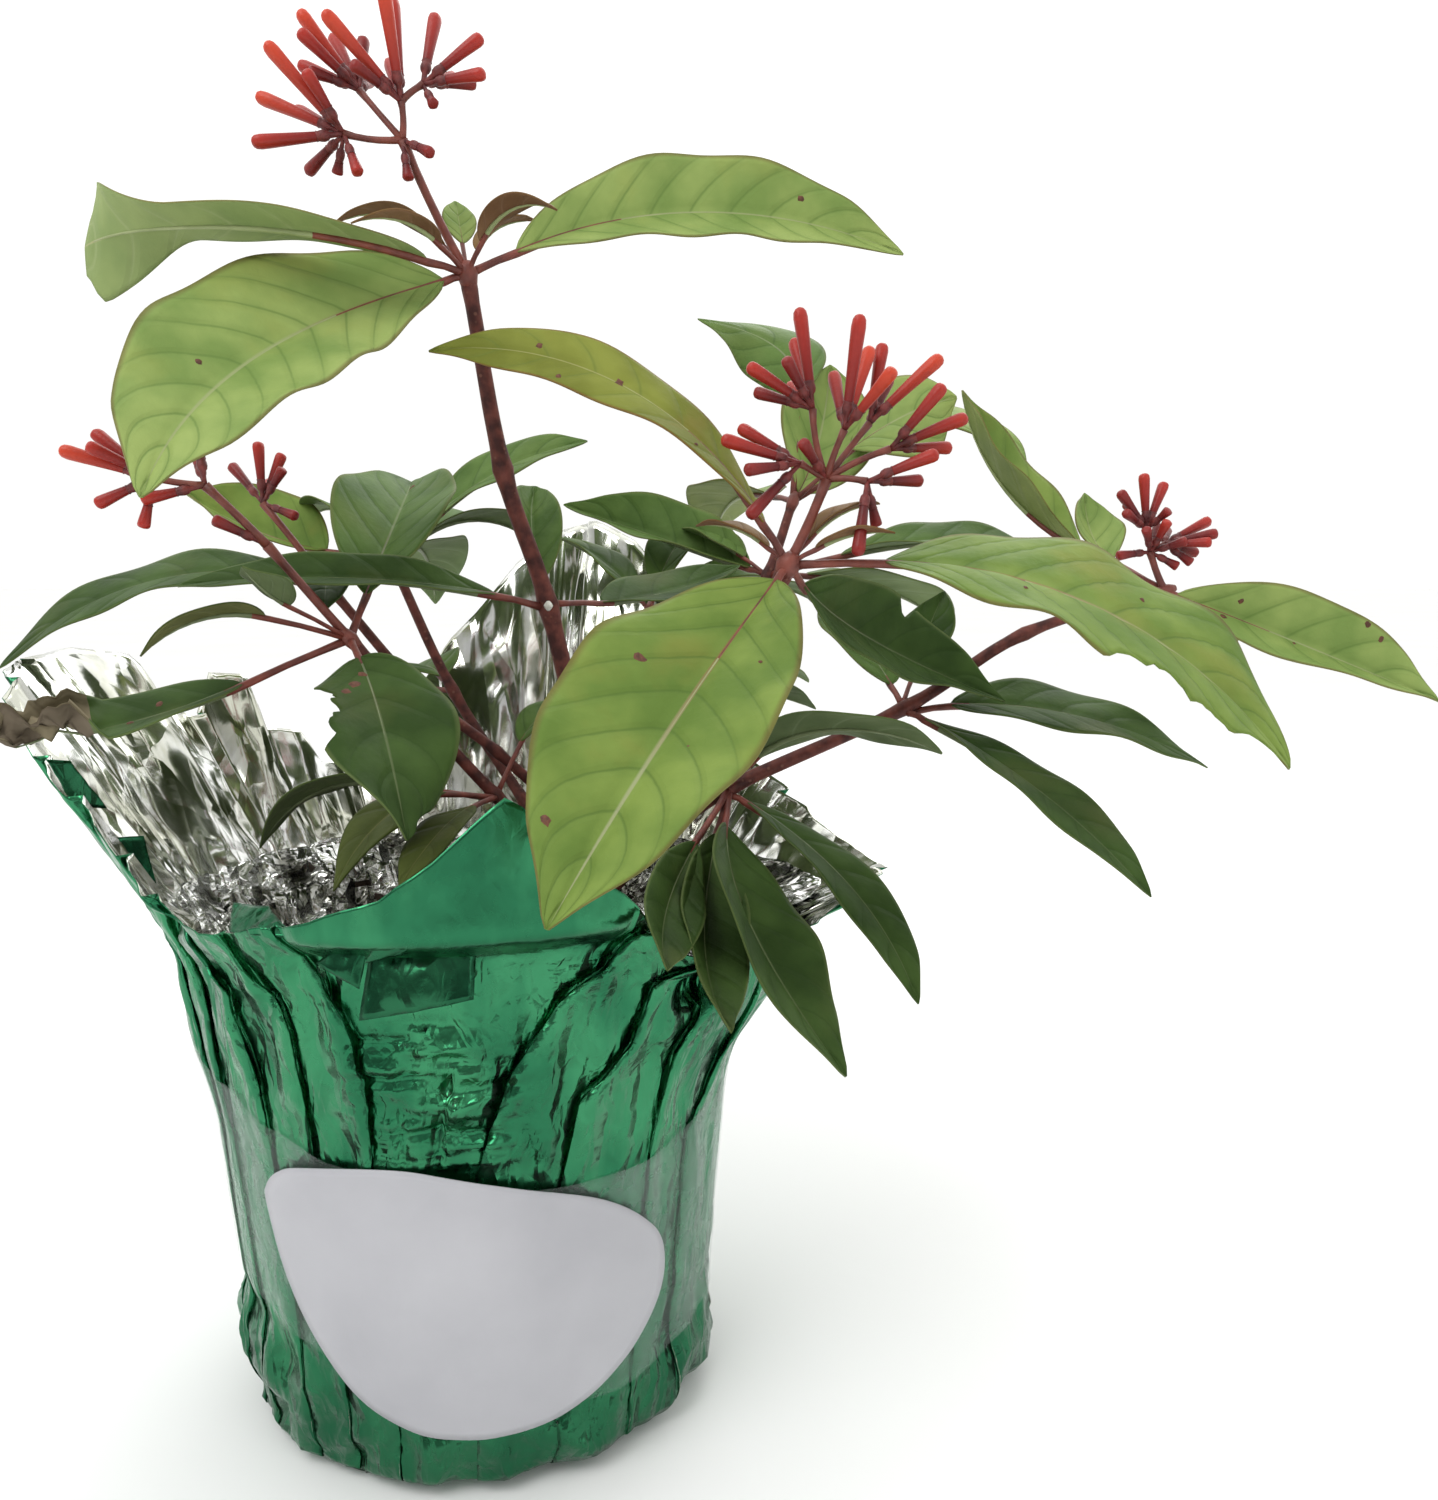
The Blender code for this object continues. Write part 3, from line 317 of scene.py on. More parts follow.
class Nodes:
    """Short calls that add nodes to a tree; most return a socket."""

    def __init__(self, tree):
        self.tree = tree

    def feed(self, node, inputs):
        """Inputs by name or place: a value, or another node's socket."""
        for key, value in inputs.items():
            if isinstance(value, bpy.types.NodeSocket):
                self.tree.links.new(value, node.inputs[key])
            else:
                node.inputs[key].default_value = value

    def put(self, kind, inputs=None, **settings):
        made = self.tree.nodes.new("ShaderNode" + kind)
        for key, value in settings.items():
            setattr(made, key, value)
        self.feed(made, inputs or {})
        return made

    def sums(self, operation, first, second):
        return self.put("Math", {0: first, 1: second}, operation=operation).outputs[0]

    def plus(self, first, second, share=1):
        """The first value and a share of the second."""
        return self.sums("ADD", first, second if share == 1 else self.sums("MULTIPLY", second, share))

    def mix(self, share, first, second):
        """Colour between two colours; each is a socket or a tuple of three."""
        given = {0: share}
        for place, colour in ((6, first), (7, second)):
            given[place] = (*colour, 1) if isinstance(colour, tuple) else colour
        return self.put("Mix", given, data_type="RGBA").outputs[2]

    def spread(self, value, low, high, start=0, end=1):
        """Value from low to high carried over to start to end, and held there."""
        return self.put("MapRange", {0: value, 1: low, 2: high, 3: start, 4: end}).outputs[0]

    def place(self):
        return self.put("TexCoord").outputs["Object"]

    def noise(self, scale, detail=3, stretch=None):
        """Noise on the object's own coordinates."""
        place = self.place()
        if stretch:
            place = self.put("Mapping", {0: place, 3: stretch}).outputs[0]
        return self.put("TexNoise", {"Vector": place, "Scale": scale, "Detail": detail}).outputs[0]

    def patches(self, scale, low, high, start=0, end=1, detail=3, stretch=None):
        return self.spread(self.noise(scale, detail, stretch), low, high, start, end)

    def own_map(self, name):
        return self.put("UVMap", uv_map=name).outputs[0]

    def parts(self, name):
        """The numbers of one of the piece's own maps."""
        return self.put("SeparateXYZ", {0: self.own_map(name)}).outputs


class Finish(Nodes):
    """A material and its main shader."""

    def __init__(self, name, colour, roughness, metallic=0, specular=0.5):
        self.made = bpy.data.materials.new(name)
        self.made.use_nodes = True
        super().__init__(self.made.node_tree)
        self.shader = self.tree.nodes["Principled BSDF"]
        self.give({"Base Color": (*colour, 1), "Roughness": roughness, "Metallic": metallic,
                   "Specular IOR Level": specular})

    def give(self, inputs):
        self.feed(self.shader, inputs)

    def relief(self, height, strength, distance):
        """Bump from a height, which is the last step of a finish."""
        bump = self.put("Bump", {"Height": height, "Strength": strength, "Distance": distance})
        self.give({"Normal": bump.outputs[0]})
        return self.made


# Finishes

def leaf_finish(name, low, high, rib, rib_foot, vein_tone_and_groove_shade, vein_share, roughness, edge=None, blotch=None,
                red=(0.1, 0.42)):
    """Leaf with a midrib, arched side veins with painted shade, a margin tone, and mottling."""
    look = Finish(name, high, roughness, specular=0.07)
    along = look.parts("blade")[1]
    out, turn, _ = look.parts("veins")
    near_vein = look.sums("PINGPONG", turn, 0.5)
    colour = look.mix(look.patches(60, 0.36, 0.64), low, high)
    if blotch:
        colour = look.mix(look.patches(34, 0.56, 0.72, 0, 0.55, 4), colour, blotch)
    # Painted shade: on the tops the colour darkens on each vein line and in a band beside it, as shade in the
    # sunken veins; on the undersides the paler vein tone is the veins' own colour
    colour = look.mix(look.spread(near_vein, 0, 0.26, 0.34 * vein_share, 0), colour, vein_tone_and_groove_shade)
    line = look.sums("MULTIPLY", look.spread(near_vein, 0.015, 0.055, vein_share, 0),
                     look.spread(out, 0.5, 1, 1, 0.25))
    colour = look.mix(line, colour, vein_tone_and_groove_shade)
    colour = look.mix(look.spread(out, 0.93, 0.985, 0, 0.6), colour, edge or low)
    stalk = look.mix(look.spread(along, *red), rib_foot, rib)
    look.give({"Base Color": look.mix(look.spread(out, 0.01, 0.03, 0.8, 0), colour, stalk)})
    return look.relief(look.plus(look.spread(near_vein, 0, 0.16), look.noise(650, 2), 0.6), 0.45, 0.0004)


def mottled_finish(name, low, high, scale, roughness=0.5, edges=(0.35, 0.65), detail=3, grain=None,
                   grain_detail=3, strength=0.35, distance=0.0003):
    """Soft patches between two colours, and a fine grain."""
    look = Finish(name, high, roughness)
    look.give({"Base Color": look.mix(look.patches(scale, *edges, detail=detail), low, high)})
    return look.relief(look.noise(grain or scale * 12, grain_detail), strength, distance)


def bark_finish():
    """Maroon brown bark with pale pores and fine lengthwise ridges."""
    look = Finish("bark", (0.12, 0.03, 0.022), 0.5, specular=0.22)
    colour = look.mix(look.patches(260, 0.35, 0.68), (0.05, 0.014, 0.012), (0.165, 0.046, 0.034))
    pores = look.put("TexVoronoi", {"Vector": look.place(), "Scale": 420}).outputs["Distance"]
    look.give({"Base Color": look.mix(look.spread(pores, 0.1, 0.22, 0.4, 0), colour, (0.26, 0.12, 0.08))})
    return look.relief(look.noise(900, 3, (1, 1, 0.18)), 0.5, 0.0004)


def foil_finish(name, low, high, roughness, crinkle, depth, tall=0.28, coat=0, streak=0, grain=0.06):
    """Metal foil: patches of two tones, flat-sided creases, streaks that run up
    the sheet, and faint scuffs. The second map says how creased a place is and
    how much painted shade darkens it."""
    look = Finish(name, high, roughness, 1)
    # The map's second number is a share of painted shade: the base colour goes towards a dark copy of the low
    # tone
    creased, dark, _ = look.parts("veins")
    colour = look.mix(look.patches(70, 0.4, 0.6, detail=4, stretch=(1, 1, 0.4)), low, high)
    look.give({
        "Coat Weight": coat, "Coat Roughness": 0.22,
        "Base Color": look.mix(dark, colour, tuple(part * 0.3 for part in low)),
        "Roughness": look.patches(160, 0.3, 0.7, roughness * 0.75, roughness * 1.35),
    })
    place = look.place()
    wander = look.put("TexNoise", {"Vector": place, "Scale": crinkle * 0.6, "Detail": 2}).outputs["Color"]
    bent = look.put("Mix", {0: 0.01, 4: place, 5: wander}, data_type="VECTOR").outputs[1]
    bent = look.put("Mapping", {0: bent, 2: (0.7, 0.5, 0.9), 3: (1, 1, tall)}).outputs[0]

    def creases(scale):
        cells = look.put("TexVoronoi", {"Vector": bent, "Scale": scale}, distance="MANHATTAN")
        return cells.outputs["Distance"]

    height = look.plus(creases(crinkle), creases(crinkle * 2.3), 0.4)
    if streak:
        sheet = look.put("Mapping", {0: look.own_map("blade"), 3: (48, 3, 1)}).outputs[0]
        lines = look.put("TexNoise", {"Vector": sheet, "Scale": 1, "Detail": 2, "Distortion": 0.4}).outputs[0]
        height = look.plus(height, lines, streak)
    height = look.plus(height, look.noise(crinkle * 5), grain)
    return look.relief(look.sums("MULTIPLY", height, creased), 1, depth)


def tape_finish():
    """Clear tape with a faint milky haze and fine upright ripples."""
    look = Finish("clear_tape", (0.42, 0.5, 0.46), 0.36, specular=0.35)
    look.give({"Alpha": look.patches(90, 0.35, 0.68, 0.05, 0.16, 4, (1, 1, 0.15))})
    return look.relief(look.noise(260, 3, (1, 1, 0.12)), 0.35, 0.0005)


def plastic_finish():
    """Black moulded plastic with a fine matt grain and dusty patches."""
    look = Finish("black_plastic", (0.014, 0.014, 0.015), 0.5)
    dust = look.patches(70, 0.45, 0.8, detail=4)
    look.give({"Base Color": look.mix(dust, (0.01, 0.01, 0.011), (0.045, 0.04, 0.036)),
               "Roughness": look.patches(140, 0.3, 0.7, 0.38, 0.62)})
    return look.relief(look.noise(2200, 2), 0.25, 0.0002)


def petal_finish(name, foot, body, tip):
    """Flower tube that goes from foot to body to tip colour along its length."""
    look = Finish(name, body, 0.42, specular=0.32)
    along = look.parts("blade")[1]
    colour = look.mix(look.spread(along, 0.25, 0.6), foot, body)
    colour = look.mix(look.spread(along, 0.72, 1), colour, tip)
    look.give({"Base Color": look.mix(look.patches(420, 0.5, 0.8, 0, 0.45), colour, foot)})
    return look.relief(look.noise(1500, 2), 0.3, 0.0003)


LEAF_FINISHES = [
    leaf_finish(look + side, *thousandths(tones))
    for side, table in (("_leaf", TOP_TONES), ("_underside", UNDERSIDE_TONES))
    for look, tones in table.items()
]
BARK = bark_finish()
STALK_FINISHES = [
    mottled_finish("red_stalk", (0.105, 0.022, 0.015), (0.215, 0.05, 0.032), 200),
    mottled_finish("pale_rib", (0.24, 0.29, 0.12), (0.32, 0.37, 0.17), 150),
    mottled_finish("olive_rib", (0.11, 0.14, 0.06), (0.17, 0.21, 0.1), 150),
    mottled_finish("brown_spot", (0.075, 0.026, 0.014), (0.16, 0.055, 0.028), 900, 0.7),
    mottled_finish("bud_scar", (0.55, 0.55, 0.48), (0.75, 0.75, 0.7), 900, 0.6),
]
RED_STALK, PALE_RIB, OLIVE_RIB, BROWN_SPOT, BUD_SCAR = range(len(STALK_FINISHES))
FLOWER_FINISHES = [
    mottled_finish("dark_calyx", (0.08, 0.01, 0.011), (0.19, 0.028, 0.024), 500),
    petal_finish("orange_petal", (0.3, 0.022, 0.014), (0.54, 0.052, 0.021), (0.62, 0.078, 0.028)),
    petal_finish("red_petal", (0.2, 0.014, 0.012), (0.38, 0.027, 0.017), (0.42, 0.036, 0.022)),
    petal_finish("deep_petal", (0.095, 0.009, 0.01), (0.225, 0.017, 0.014), (0.25, 0.022, 0.018)),
]
GREEN_FOIL = foil_finish("green_foil", (0.02, 0.15, 0.068), (0.04, 0.228, 0.104), 0.24, 110, 0.0016,
                         coat=0.12)
SILVER_FOIL = foil_finish("silver_foil", (0.58, 0.59, 0.5), (0.84, 0.85, 0.83), 0.13, 24, 0.0024, 0.16,
                          streak=1.1, grain=0.01)
# The gathered lining's near-black low tone is painted shade and painted dark reflections in the crumples of
# the silver foil
GATHERED_FOIL_WITH_PAINTED_SHADE = foil_finish("gathered_foil_with_painted_shade", (0.16, 0.16, 0.14), (0.78, 0.79, 0.77), 0.13, 75, 0.0045, 0.9,
                            grain=0.02)
TAPE = tape_finish()
PAPER = mottled_finish("bare_label", (0.4, 0.4, 0.43), (0.49, 0.49, 0.52), 26, 0.45, (0.3, 0.7), 4, 1400, 2,
                       0.15, 0.0002)
SOIL = mottled_finish("potting_mix", (0.012, 0.008, 0.006), (0.085, 0.052, 0.034), 500, 0.95, detail=5,
                      grain=900, grain_detail=6, strength=0.8, distance=0.0012)
PLASTIC = plastic_finish()


# Mesh helpers

def finish_piece(name, bm, finishes, node):
    """Object from a bmesh that rides on the plant's one body."""
    mesh = bpy.data.meshes.new(name)
    bm.to_mesh(mesh)
    bm.free()
    for finish in finishes:
        mesh.materials.append(finish)
    made = bpy.data.objects.new(name, mesh)
    bpy.context.scene.collection.objects.link(made)
    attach(made, "root")
    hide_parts(node)
    return made


def add_wall(piece, thickness, offset, inner=0):
    """Wall thickness; inner is the step to the finish of the inner side."""
    wall = piece.modifiers.new("wall", "SOLIDIFY")
    wall.thickness = thickness
    wall.offset = offset
    wall.material_offset = inner


def eased(value, low, high):
    t = min(max((value - low) / (high - low), 0), 1)
    return t * t * (3 - 2 * t)


def near(offset, wide, power=2):
    """1 in the middle, and down to 0 past the width."""
    return exp(-(offset / wide) ** power)


def ring_point(turn, radius, height):
    return Vector((radius * cos(turn), radius * sin(turn), height))


TURNED = Matrix.Rotation(0.9, 3, Vector((1, 2, 3)))


def facets(place):
    """Flat-sided bumps with sharp creases between them, from 0 to about 1."""
    return noise.voronoi(TURNED @ place, distance_metric="MANHATTAN")[0][0]


def along_table(table, value, soft=False):
    """The numbers of a table whose rows start with a rising number, in between."""
    if value <= table[0][0]:
        return table[0][1:]
    for low, high in zip(table, table[1:]):
        if value <= high[0]:
            t = (value - low[0]) / (high[0] - low[0])
            t = t * t * (3 - 2 * t) if soft else t
            return tuple(a + (b - a) * t for a, b in zip(low[1:], high[1:]))
    return table[-1][1:]


def new_layers(bm):
    return bm.loops.layers.uv.new("blade"), bm.loops.layers.uv.new("veins")


def bend_grid(bm, layers, columns, rows, place, slot=None, merge=False):
    """Flat grid bent to a shape. place(column, row) gives a point, and the two
    numbers of the second map; slot(row) gives the finish of a row of faces."""
    made = bmesh.ops.create_grid(bm, x_segments=columns, y_segments=rows, size=0.5)["verts"]
    maps = {}
    faces = set()
    for vert in made:
        column, row = round((vert.co.x + 0.5) * columns), round((vert.co.y + 0.5) * rows)
        vert.co, mark = place(column, row)
        maps[vert] = ((column / columns, row / rows), mark, row)
        faces.update(vert.link_faces)
    for face in faces:
        face.smooth = True
        if slot:
            face.material_index = slot(min(maps[loop.vert][2] for loop in face.loops))
        for loop in face.loops:
            loop[layers[0]].uv, loop[layers[1]].uv = maps[loop.vert][:2]
    if merge:
        bmesh.ops.remove_doubles(bm, verts=made, dist=MERGE_DISTANCE)


def bent_piece(name, columns, rows, place, finishes, node, thickness, offset):
    """Piece that is one bent sheet with a wall's thickness."""
    bm = bmesh.new()
    bend_grid(bm, new_layers(bm), columns, rows, place, merge=True)
    add_wall(finish_piece(name, bm, finishes, node), thickness, offset, len(finishes) - 1)


def add_tube(bm, layers, path, radii, sides, finish=0, relief=None):
    """Closed round body along a path, drawn to a point at both ends. The finish
    is a place in the piece's list, or a function of the row."""
    path = [path[0]] + list(path) + [path[-1]]
    radii = [0] + list(radii) + [0]
    last = len(path) - 1
    frames = []
    side = None
    for index in range(len(path)):
        low, high = max(index - 1, 0), min(index + 1, last)
        way = path[high] - path[low]
        if way.length < 1e-9:
            way = path[min(high + 1, last)] - path[max(low - 1, 0)]
        way = way.normalized()
        if side is None:
            side = way.cross(Vector((0, 0, 1)) if abs(way.z) < 0.9 else Vector((1, 0, 0)))
        side = (side - way * side.dot(way)).normalized()
        frames.append((side.copy(), way.cross(side)))

    def place(column, row):
        turn = 2 * pi * column / sides
        reach = radii[row]
        if relief and reach:
            reach *= relief(turn, row - 1)
        first, second = frames[row]
        return path[row] + (first * cos(turn) + second * sin(turn)) * reach, UNMARKED

    bend_grid(bm, layers, sides, last, place, finish if callable(finish) else lambda row: finish, merge=True)


# Stems

def direction(heading, rise):
    turn, lift = radians(heading), radians(rise)
    return Vector((cos(lift) * cos(turn), cos(lift) * sin(turn), sin(lift)))


def picture_direction(angle, towards):
    turn, tilt = radians(angle), radians(towards)
    return Vector((cos(turn) * cos(tilt), -sin(tilt), sin(turn) * cos(tilt)))


def smooth_path(points, steps):
    ends = [points[0] * 2 - points[1], *points, points[-1] * 2 - points[-2]]
    path = []
    for a, b, c, d in zip(ends, ends[1:], ends[2:], ends[3:]):
        for step in range(steps):
            t = step / steps
            path.append(0.5 * ((2 * b) + (c - a) * t + (2 * a - 5 * b + 4 * c - d) * t * t
                               + (3 * b - a - 3 * c + d) * t ** 3))
    path.append(points[-1].copy())
    return path


def add_stem(name, stub=0, steps=14, sides=20):
    """Bark-covered stem along the frame's own path, with rings at its nodes."""
    stem = STEMS[name]
    points = [place.copy() for place, _ in stem]
    points[0].z += stub
    path = smooth_path(points, steps)
    radii = []
    for index in range(len(path)):
        low, part = divmod(index, steps)
        radius = stem[low][1]
        wide = radius + (stem[min(low + 1, len(stem) - 1)][1] - radius) * part / steps
        gap = min(part, steps - part)
        knot = 0.3 if 0 < index < len(path) - 1 else 0.12
        radii.append(wide * BARK_SHARE * (1 + knot * exp(-gap * gap / 1.2)))
    if stub:
        path.insert(0, path[0] - Vector((0, 0, stub + 0.001)))
        radii.insert(0, radii[0] * 1.12)
    else:
        path.insert(0, path[0] - (path[1] - path[0]).normalized() * 0.0035)
        radii.insert(0, radii[0])
    seed = random.uniform(0, 50)

    def bark(turn, row):
        spot = Vector((cos(turn) * 1.6, sin(turn) * 1.6, row * 0.16 + seed))
        return 1 + noise.noise(spot) * 0.03 + noise.noise(spot * 2.2) * 0.03

    bm = bmesh.new()
    add_tube(bm, new_layers(bm), path, radii, sides, relief=bark)
    finish_piece(name + "_bark", bm, [BARK], name)


# Leaves

def leaf(look, heading, rise, length, width, droop=30, sweep=0, petiole=100, roll=0, fold=14, twist=0,
         **more):
    """Sizes of one leaf, as in the frame's source, with the lengths in tenths of
    a millimetre. Then its looks: veins on each side, wave of the margin, bites,
    spots, a flare of the tip, and the share past which it is dry."""
    size = dict(look=look, heading=heading, rise=rise, length=length / 10000, width=width / 10000,
                droop=droop, sweep=sweep, petiole=petiole / 10000, roll=roll, fold=fold, twist=twist,
                veins=None, wave=0.03, bites=(), spots=(), flare=None, dry=1.1)
    size.update(more)
    return size


def half_width(share):
    return 0.5 * max(sin(pi * share ** 0.92), 0) ** 0.8 + 0.012


class Blade:
    """Surface of one leaf: a point of it for a share across and along."""

    def __init__(self, node, size):
        self.size = size
        self.rows = LEAST_ROWS + int(size["length"] * ROWS_A_METRE) + (BITTEN_ROWS if size["bites"] else 0)
        self.veins = size["veins"] or max(4, round(size["length"] * VEINS_A_METRE))
        self.phase = random.uniform(0, 6.28)
        self.seed = Vector((random.uniform(0, 90), random.uniform(0, 90), 0))
        self.stations = []
        place = node + self.way(0) * size["petiole"]
        for row in range(self.rows + 1):
            share = row / self.rows
            if row:
                place = place + self.way((row - 0.5) / self.rows) * (size["length"] / self.rows)
            way = self.way(share)
            flat = way.cross(Vector((0, 0, 1))).normalized()
            lift = flat.cross(way)
            roll = radians(size["roll"] + size["twist"] * share)
            reach = half_width(share) * size["width"] * (1 - 0.25 * eased(share, 0.82, 0.97))
            if size["flare"]:
                start, wide, turn = size["flare"]
                part = eased(share, start, 1)
                roll += radians(turn) * part
                reach = reach * (1 - part) + wide * part * (1 - 0.55 * eased(share, 0.93, 1))
            side = flat * cos(roll) + lift * sin(roll)
            self.stations.append((place.copy(), side, side.cross(way).normalized(), reach))

    def way(self, share):
        size = self.size
        return direction(size["heading"] + size["sweep"] * share, size["rise"] - size["droop"] * share)

    def edge_left(self, across, share):
        """How much of the half width is left by bites on this side."""
        left = 1
        for side, start, end, depth in self.size["bites"]:
            if across * side > 0 and start < share < end:
                t = (share - start) / (end - start)
                jag = 0.85 + 0.3 * noise.noise(Vector((share * 70, side * 9, 3.3)))
                left = min(left, 1 - depth * (1 - abs(2 * t - 1) ** 3) * jag)
        return left

    def vein_turn(self, across, share):
        wide = self.size["width"] / self.size["length"]
        out = abs(across)
        return self.veins * (share - wide * (0.34 * out + 0.18 * out ** 2.2)) + 0.5

    def point(self, across, share, above=0):
        low = min(int(share * self.rows), self.rows - 1)
        t = share * self.rows - low
        place, side, top, reach = (p + (q - p) * t for p, q in zip(*self.stations[low:low + 2]))
        rolled = eased(share, self.size["dry"] - 0.04, self.size["dry"] + 0.1)
        fold = radians(self.size["fold"] + (76 - self.size["fold"]) * rolled)
        out = abs(across)
        taper = sin(pi * min(max(share, 0), 1)) ** 0.5 if 0 < share < 1 else 0
        rise = reach * sin(fold) * out ** 1.25
        turn = self.vein_turn(across, share)
        quilt = abs(sin(pi * turn)) ** 0.8 * min(out * 3.5, 1) * (1 - out ** 4) * taper
        wide = self.size["width"]
        rise += wide * (0.016 * quilt - 0.02 * near(out, 0.07) * taper)
        wave = sin(share * self.veins * 2.4 + self.phase + (1.4 if across > 0 else 0))
        rise += wide * self.size["wave"] * wave * out ** 3 * taper
        rise += wide * 0.05 * noise.noise(place * 40 + side * across * 0.8 + self.seed) * out * taper
        if rolled:
            crumple = facets(place * 260 + side * across * 1.6 + self.seed)
            rise += wide * rolled * (0.26 * crumple - 0.16)
            stray = noise.noise(place * 190 + Vector((0, 0, across * 2)))
            place = place + side * (wide * 0.26 * rolled * stray)
        return place + side * (cos(fold) * reach * across) + top * (rise + above)

    def add_to(self, bm, layers):
        slot, dried = LOOKS.index(self.size["look"]), LOOKS.index("dried")
        columns = 16 if self.size["width"] > 0.014 else 10

        def place(column, row):
            across, share = 2 * column / columns - 1, row / self.rows
            across *= self.edge_left(across, share)
            return self.point(across, share), (abs(across), self.vein_turn(across, share))

        bend_grid(bm, layers, columns, self.rows, place,
                  lambda row: dried if row / self.rows > self.size["dry"] else slot)

    def add_stalk(self, bm, layers, root):
        """Petiole that runs on as the midrib under the blade."""
        look = self.size["look"]
        scale = min(1, 0.45 + self.size["length"] * 9)
        start = self.stations[0][0]
        path = [root.lerp(start, t) for t in (0, 0.3, 0.6)]
        radii = [0.0011 * scale, 0.0009 * scale, 0.00085 * scale]
        count = max(8, self.rows // 3)
        red = len(path) + 1
        for index in range(count):
            share = index / count
            radius = scale * (0.00085 * (1 - share) ** 1.1 + 0.00012)
            path.append(self.point(0, share, -radius * 0.55))
            radii.append(radius)
            if share < 0.22 and look in ("pale", "fresh", "lime"):
                red = len(path) + 1
        rib = PALE_RIB if look in ("pale", "fresh", "lime", "bronze") else OLIVE_RIB
        add_tube(bm, layers, path, radii, 8, lambda row: RED_STALK if row <= red else rib)

    def add_spots(self, bm, layers):
        """Small dead spots: thin flecks that lie on the blade."""
        for across, share, radius in self.size["spots"]:
            reach = max(self.stations[int(share * self.rows)][3], 0.002)
            shape = [1 + 0.25 * random.uniform(-1, 1) for _ in range(9)]

            def place(column, row):
                turn = 2 * pi * column / 9
                out = radius * row / 2 * shape[column % 9]
                high = SPOT_LIFT if row < 2 else SPOT_EDGE
                beside, on = out * cos(turn) / reach, out * sin(turn) / self.size["length"]
                return self.point(across + beside, share + on, high), UNMARKED

            bend_grid(bm, layers, 9, 2, place, lambda row: BROWN_SPOT, merge=True)


def add_leaves(name, rows):
    """Leaves of one mass as one piece; their stalks' bmesh and its maps."""
    blades, stalks = bmesh.new(), bmesh.new()
    blade_layers, stalk_layers = new_layers(blades), new_layers(stalks)
    for node, root_of, size in rows:
        surface = Blade(node, size)
        surface.add_to(blades, blade_layers)
        surface.add_stalk(stalks, stalk_layers, root_of(size))
        surface.add_spots(stalks, stalk_layers)
    piece = finish_piece(name + "_blades", blades, LEAF_FINISHES, name)
    add_wall(piece, LEAF_WALL, 0, len(LOOKS))
    return stalks, stalk_layers


def way_at(stem, index):
    before, after = stem[index - 1], stem[min(index + 1, len(stem) - 1)]
    return (after[0] - before[0]).normalized()


def whorl_on_stem(name, stem, index, leaves, scar=None):
    """Leaves round one node of a stem, and a pale bud scar beside it."""
    stem = STEMS[stem]
    (node, radius), way = stem[index], way_at(stem, index)

    def root_of(size):
        out = direction(size["heading"], size["rise"])
        return node + (out - way * out.dot(way)).normalized() * radius * 0.7

    stalks, layers = add_leaves(name, [(node, root_of, size) for size in leaves])
    if scar:
        middle = node + Vector(scar)
        flake = [middle + Vector((0, -0.0008, along)) for along in (-0.0013, -0.0006, 0, 0.0007, 0.0012)]
        add_tube(stalks, layers, flake, (0.0003, 0.0009, 0.0012, 0.0008, 0.0003), 10, BUD_SCAR)
    finish_piece(name + "_stalks", stalks, STALK_FINISHES, name)


def shoot_tip(name, stem, leaves, lower=(), stalk=0.003):
    """Leaves round a stem's tip, some at its last bend, and the tip's flowers."""
    stem = STEMS[stem]
    (node, radius), way, bend = stem[-1], way_at(stem, len(stem) - 1), stem[-2][0]
    rows = [(place, lambda size, place=place: place, size)
            for place, sizes in ((node, leaves), (bend, lower)) for size in sizes]
    stalks, layers = add_leaves(name, rows)
    swelling = [node + way * along for along in (-SHOOT_FOOT, -0.0012, 0, 0.0014, SHOOT_FOOT)]
    add_tube(stalks, layers, swelling, [radius * k for k in (0.85, 1.05, 1.2, 1, 0.55)], 12, RED_STALK)
    if name in CLUSTERS:
        flowers = bmesh.new()
        add_cluster(CLUSTERS[name], stalks, layers, flowers, new_layers(flowers), node, stalk)
        finish_piece(name.replace("leaves_and_flowers", "flowers"), flowers, FLOWER_FINISHES, name)
    finish_piece(name + "_stalks", stalks, STALK_FINISHES, name)


# Flower clusters

def add_arm(bm, layers, start, angle, towards, length, radius):
    """One arm of a flower cluster, a little bowed; returns its end."""
    way = picture_direction(angle, towards)
    bow = way.cross(Vector((0, -1, 0))) * length * random.uniform(-0.05, 0.05)
    path = [start + way * length * t + bow * 4 * t * (1 - t) for t in (0, 0.2, 0.4, 0.6, 0.8, 1)]
    add_tube(bm, layers, path, [radius * k for k in (1.1, 0.95, 0.92, 0.88, 0.9, 1.15)], 9, RED_STALK)
    return start + way * length


def add_flower(bm, layers, start, angle, towards, length, stalk, tone):
    """Stalk, ovary with the flared rim of its calyx, and the closed, five-ribbed tube."""
    way = picture_direction(angle, towards)
    sag = Vector((0, 0, -1)) * length * random.uniform(-0.02, 0.05)
    base = start + way * stalk
    thick = 0.84 + 0.3 * min(length / 0.016, 1.1)

    def spot(along):
        return base + way * along + sag * (along / length) ** 2

    foot = [spot(a) for a in (-stalk, -stalk * 0.5, 0, 0.0005, 0.0013, 0.002, 0.0025, 0.0029)]
    swell = (0.00052, 0.00048, 0.00055, 0.00092, 0.00108, 0.001, 0.00088, 0.00104)
    add_tube(bm, layers, foot, [radius * thick for radius in swell], 10)
    tube = [spot(0.0024 + (length - 0.0024) * share) for share, _ in TUBE]
    add_tube(bm, layers, tube, [radius * thick for _, radius in TUBE], 15, tone,
             lambda turn, row: 1 + 0.045 * cos(5 * turn) * min(row / 4, 1))


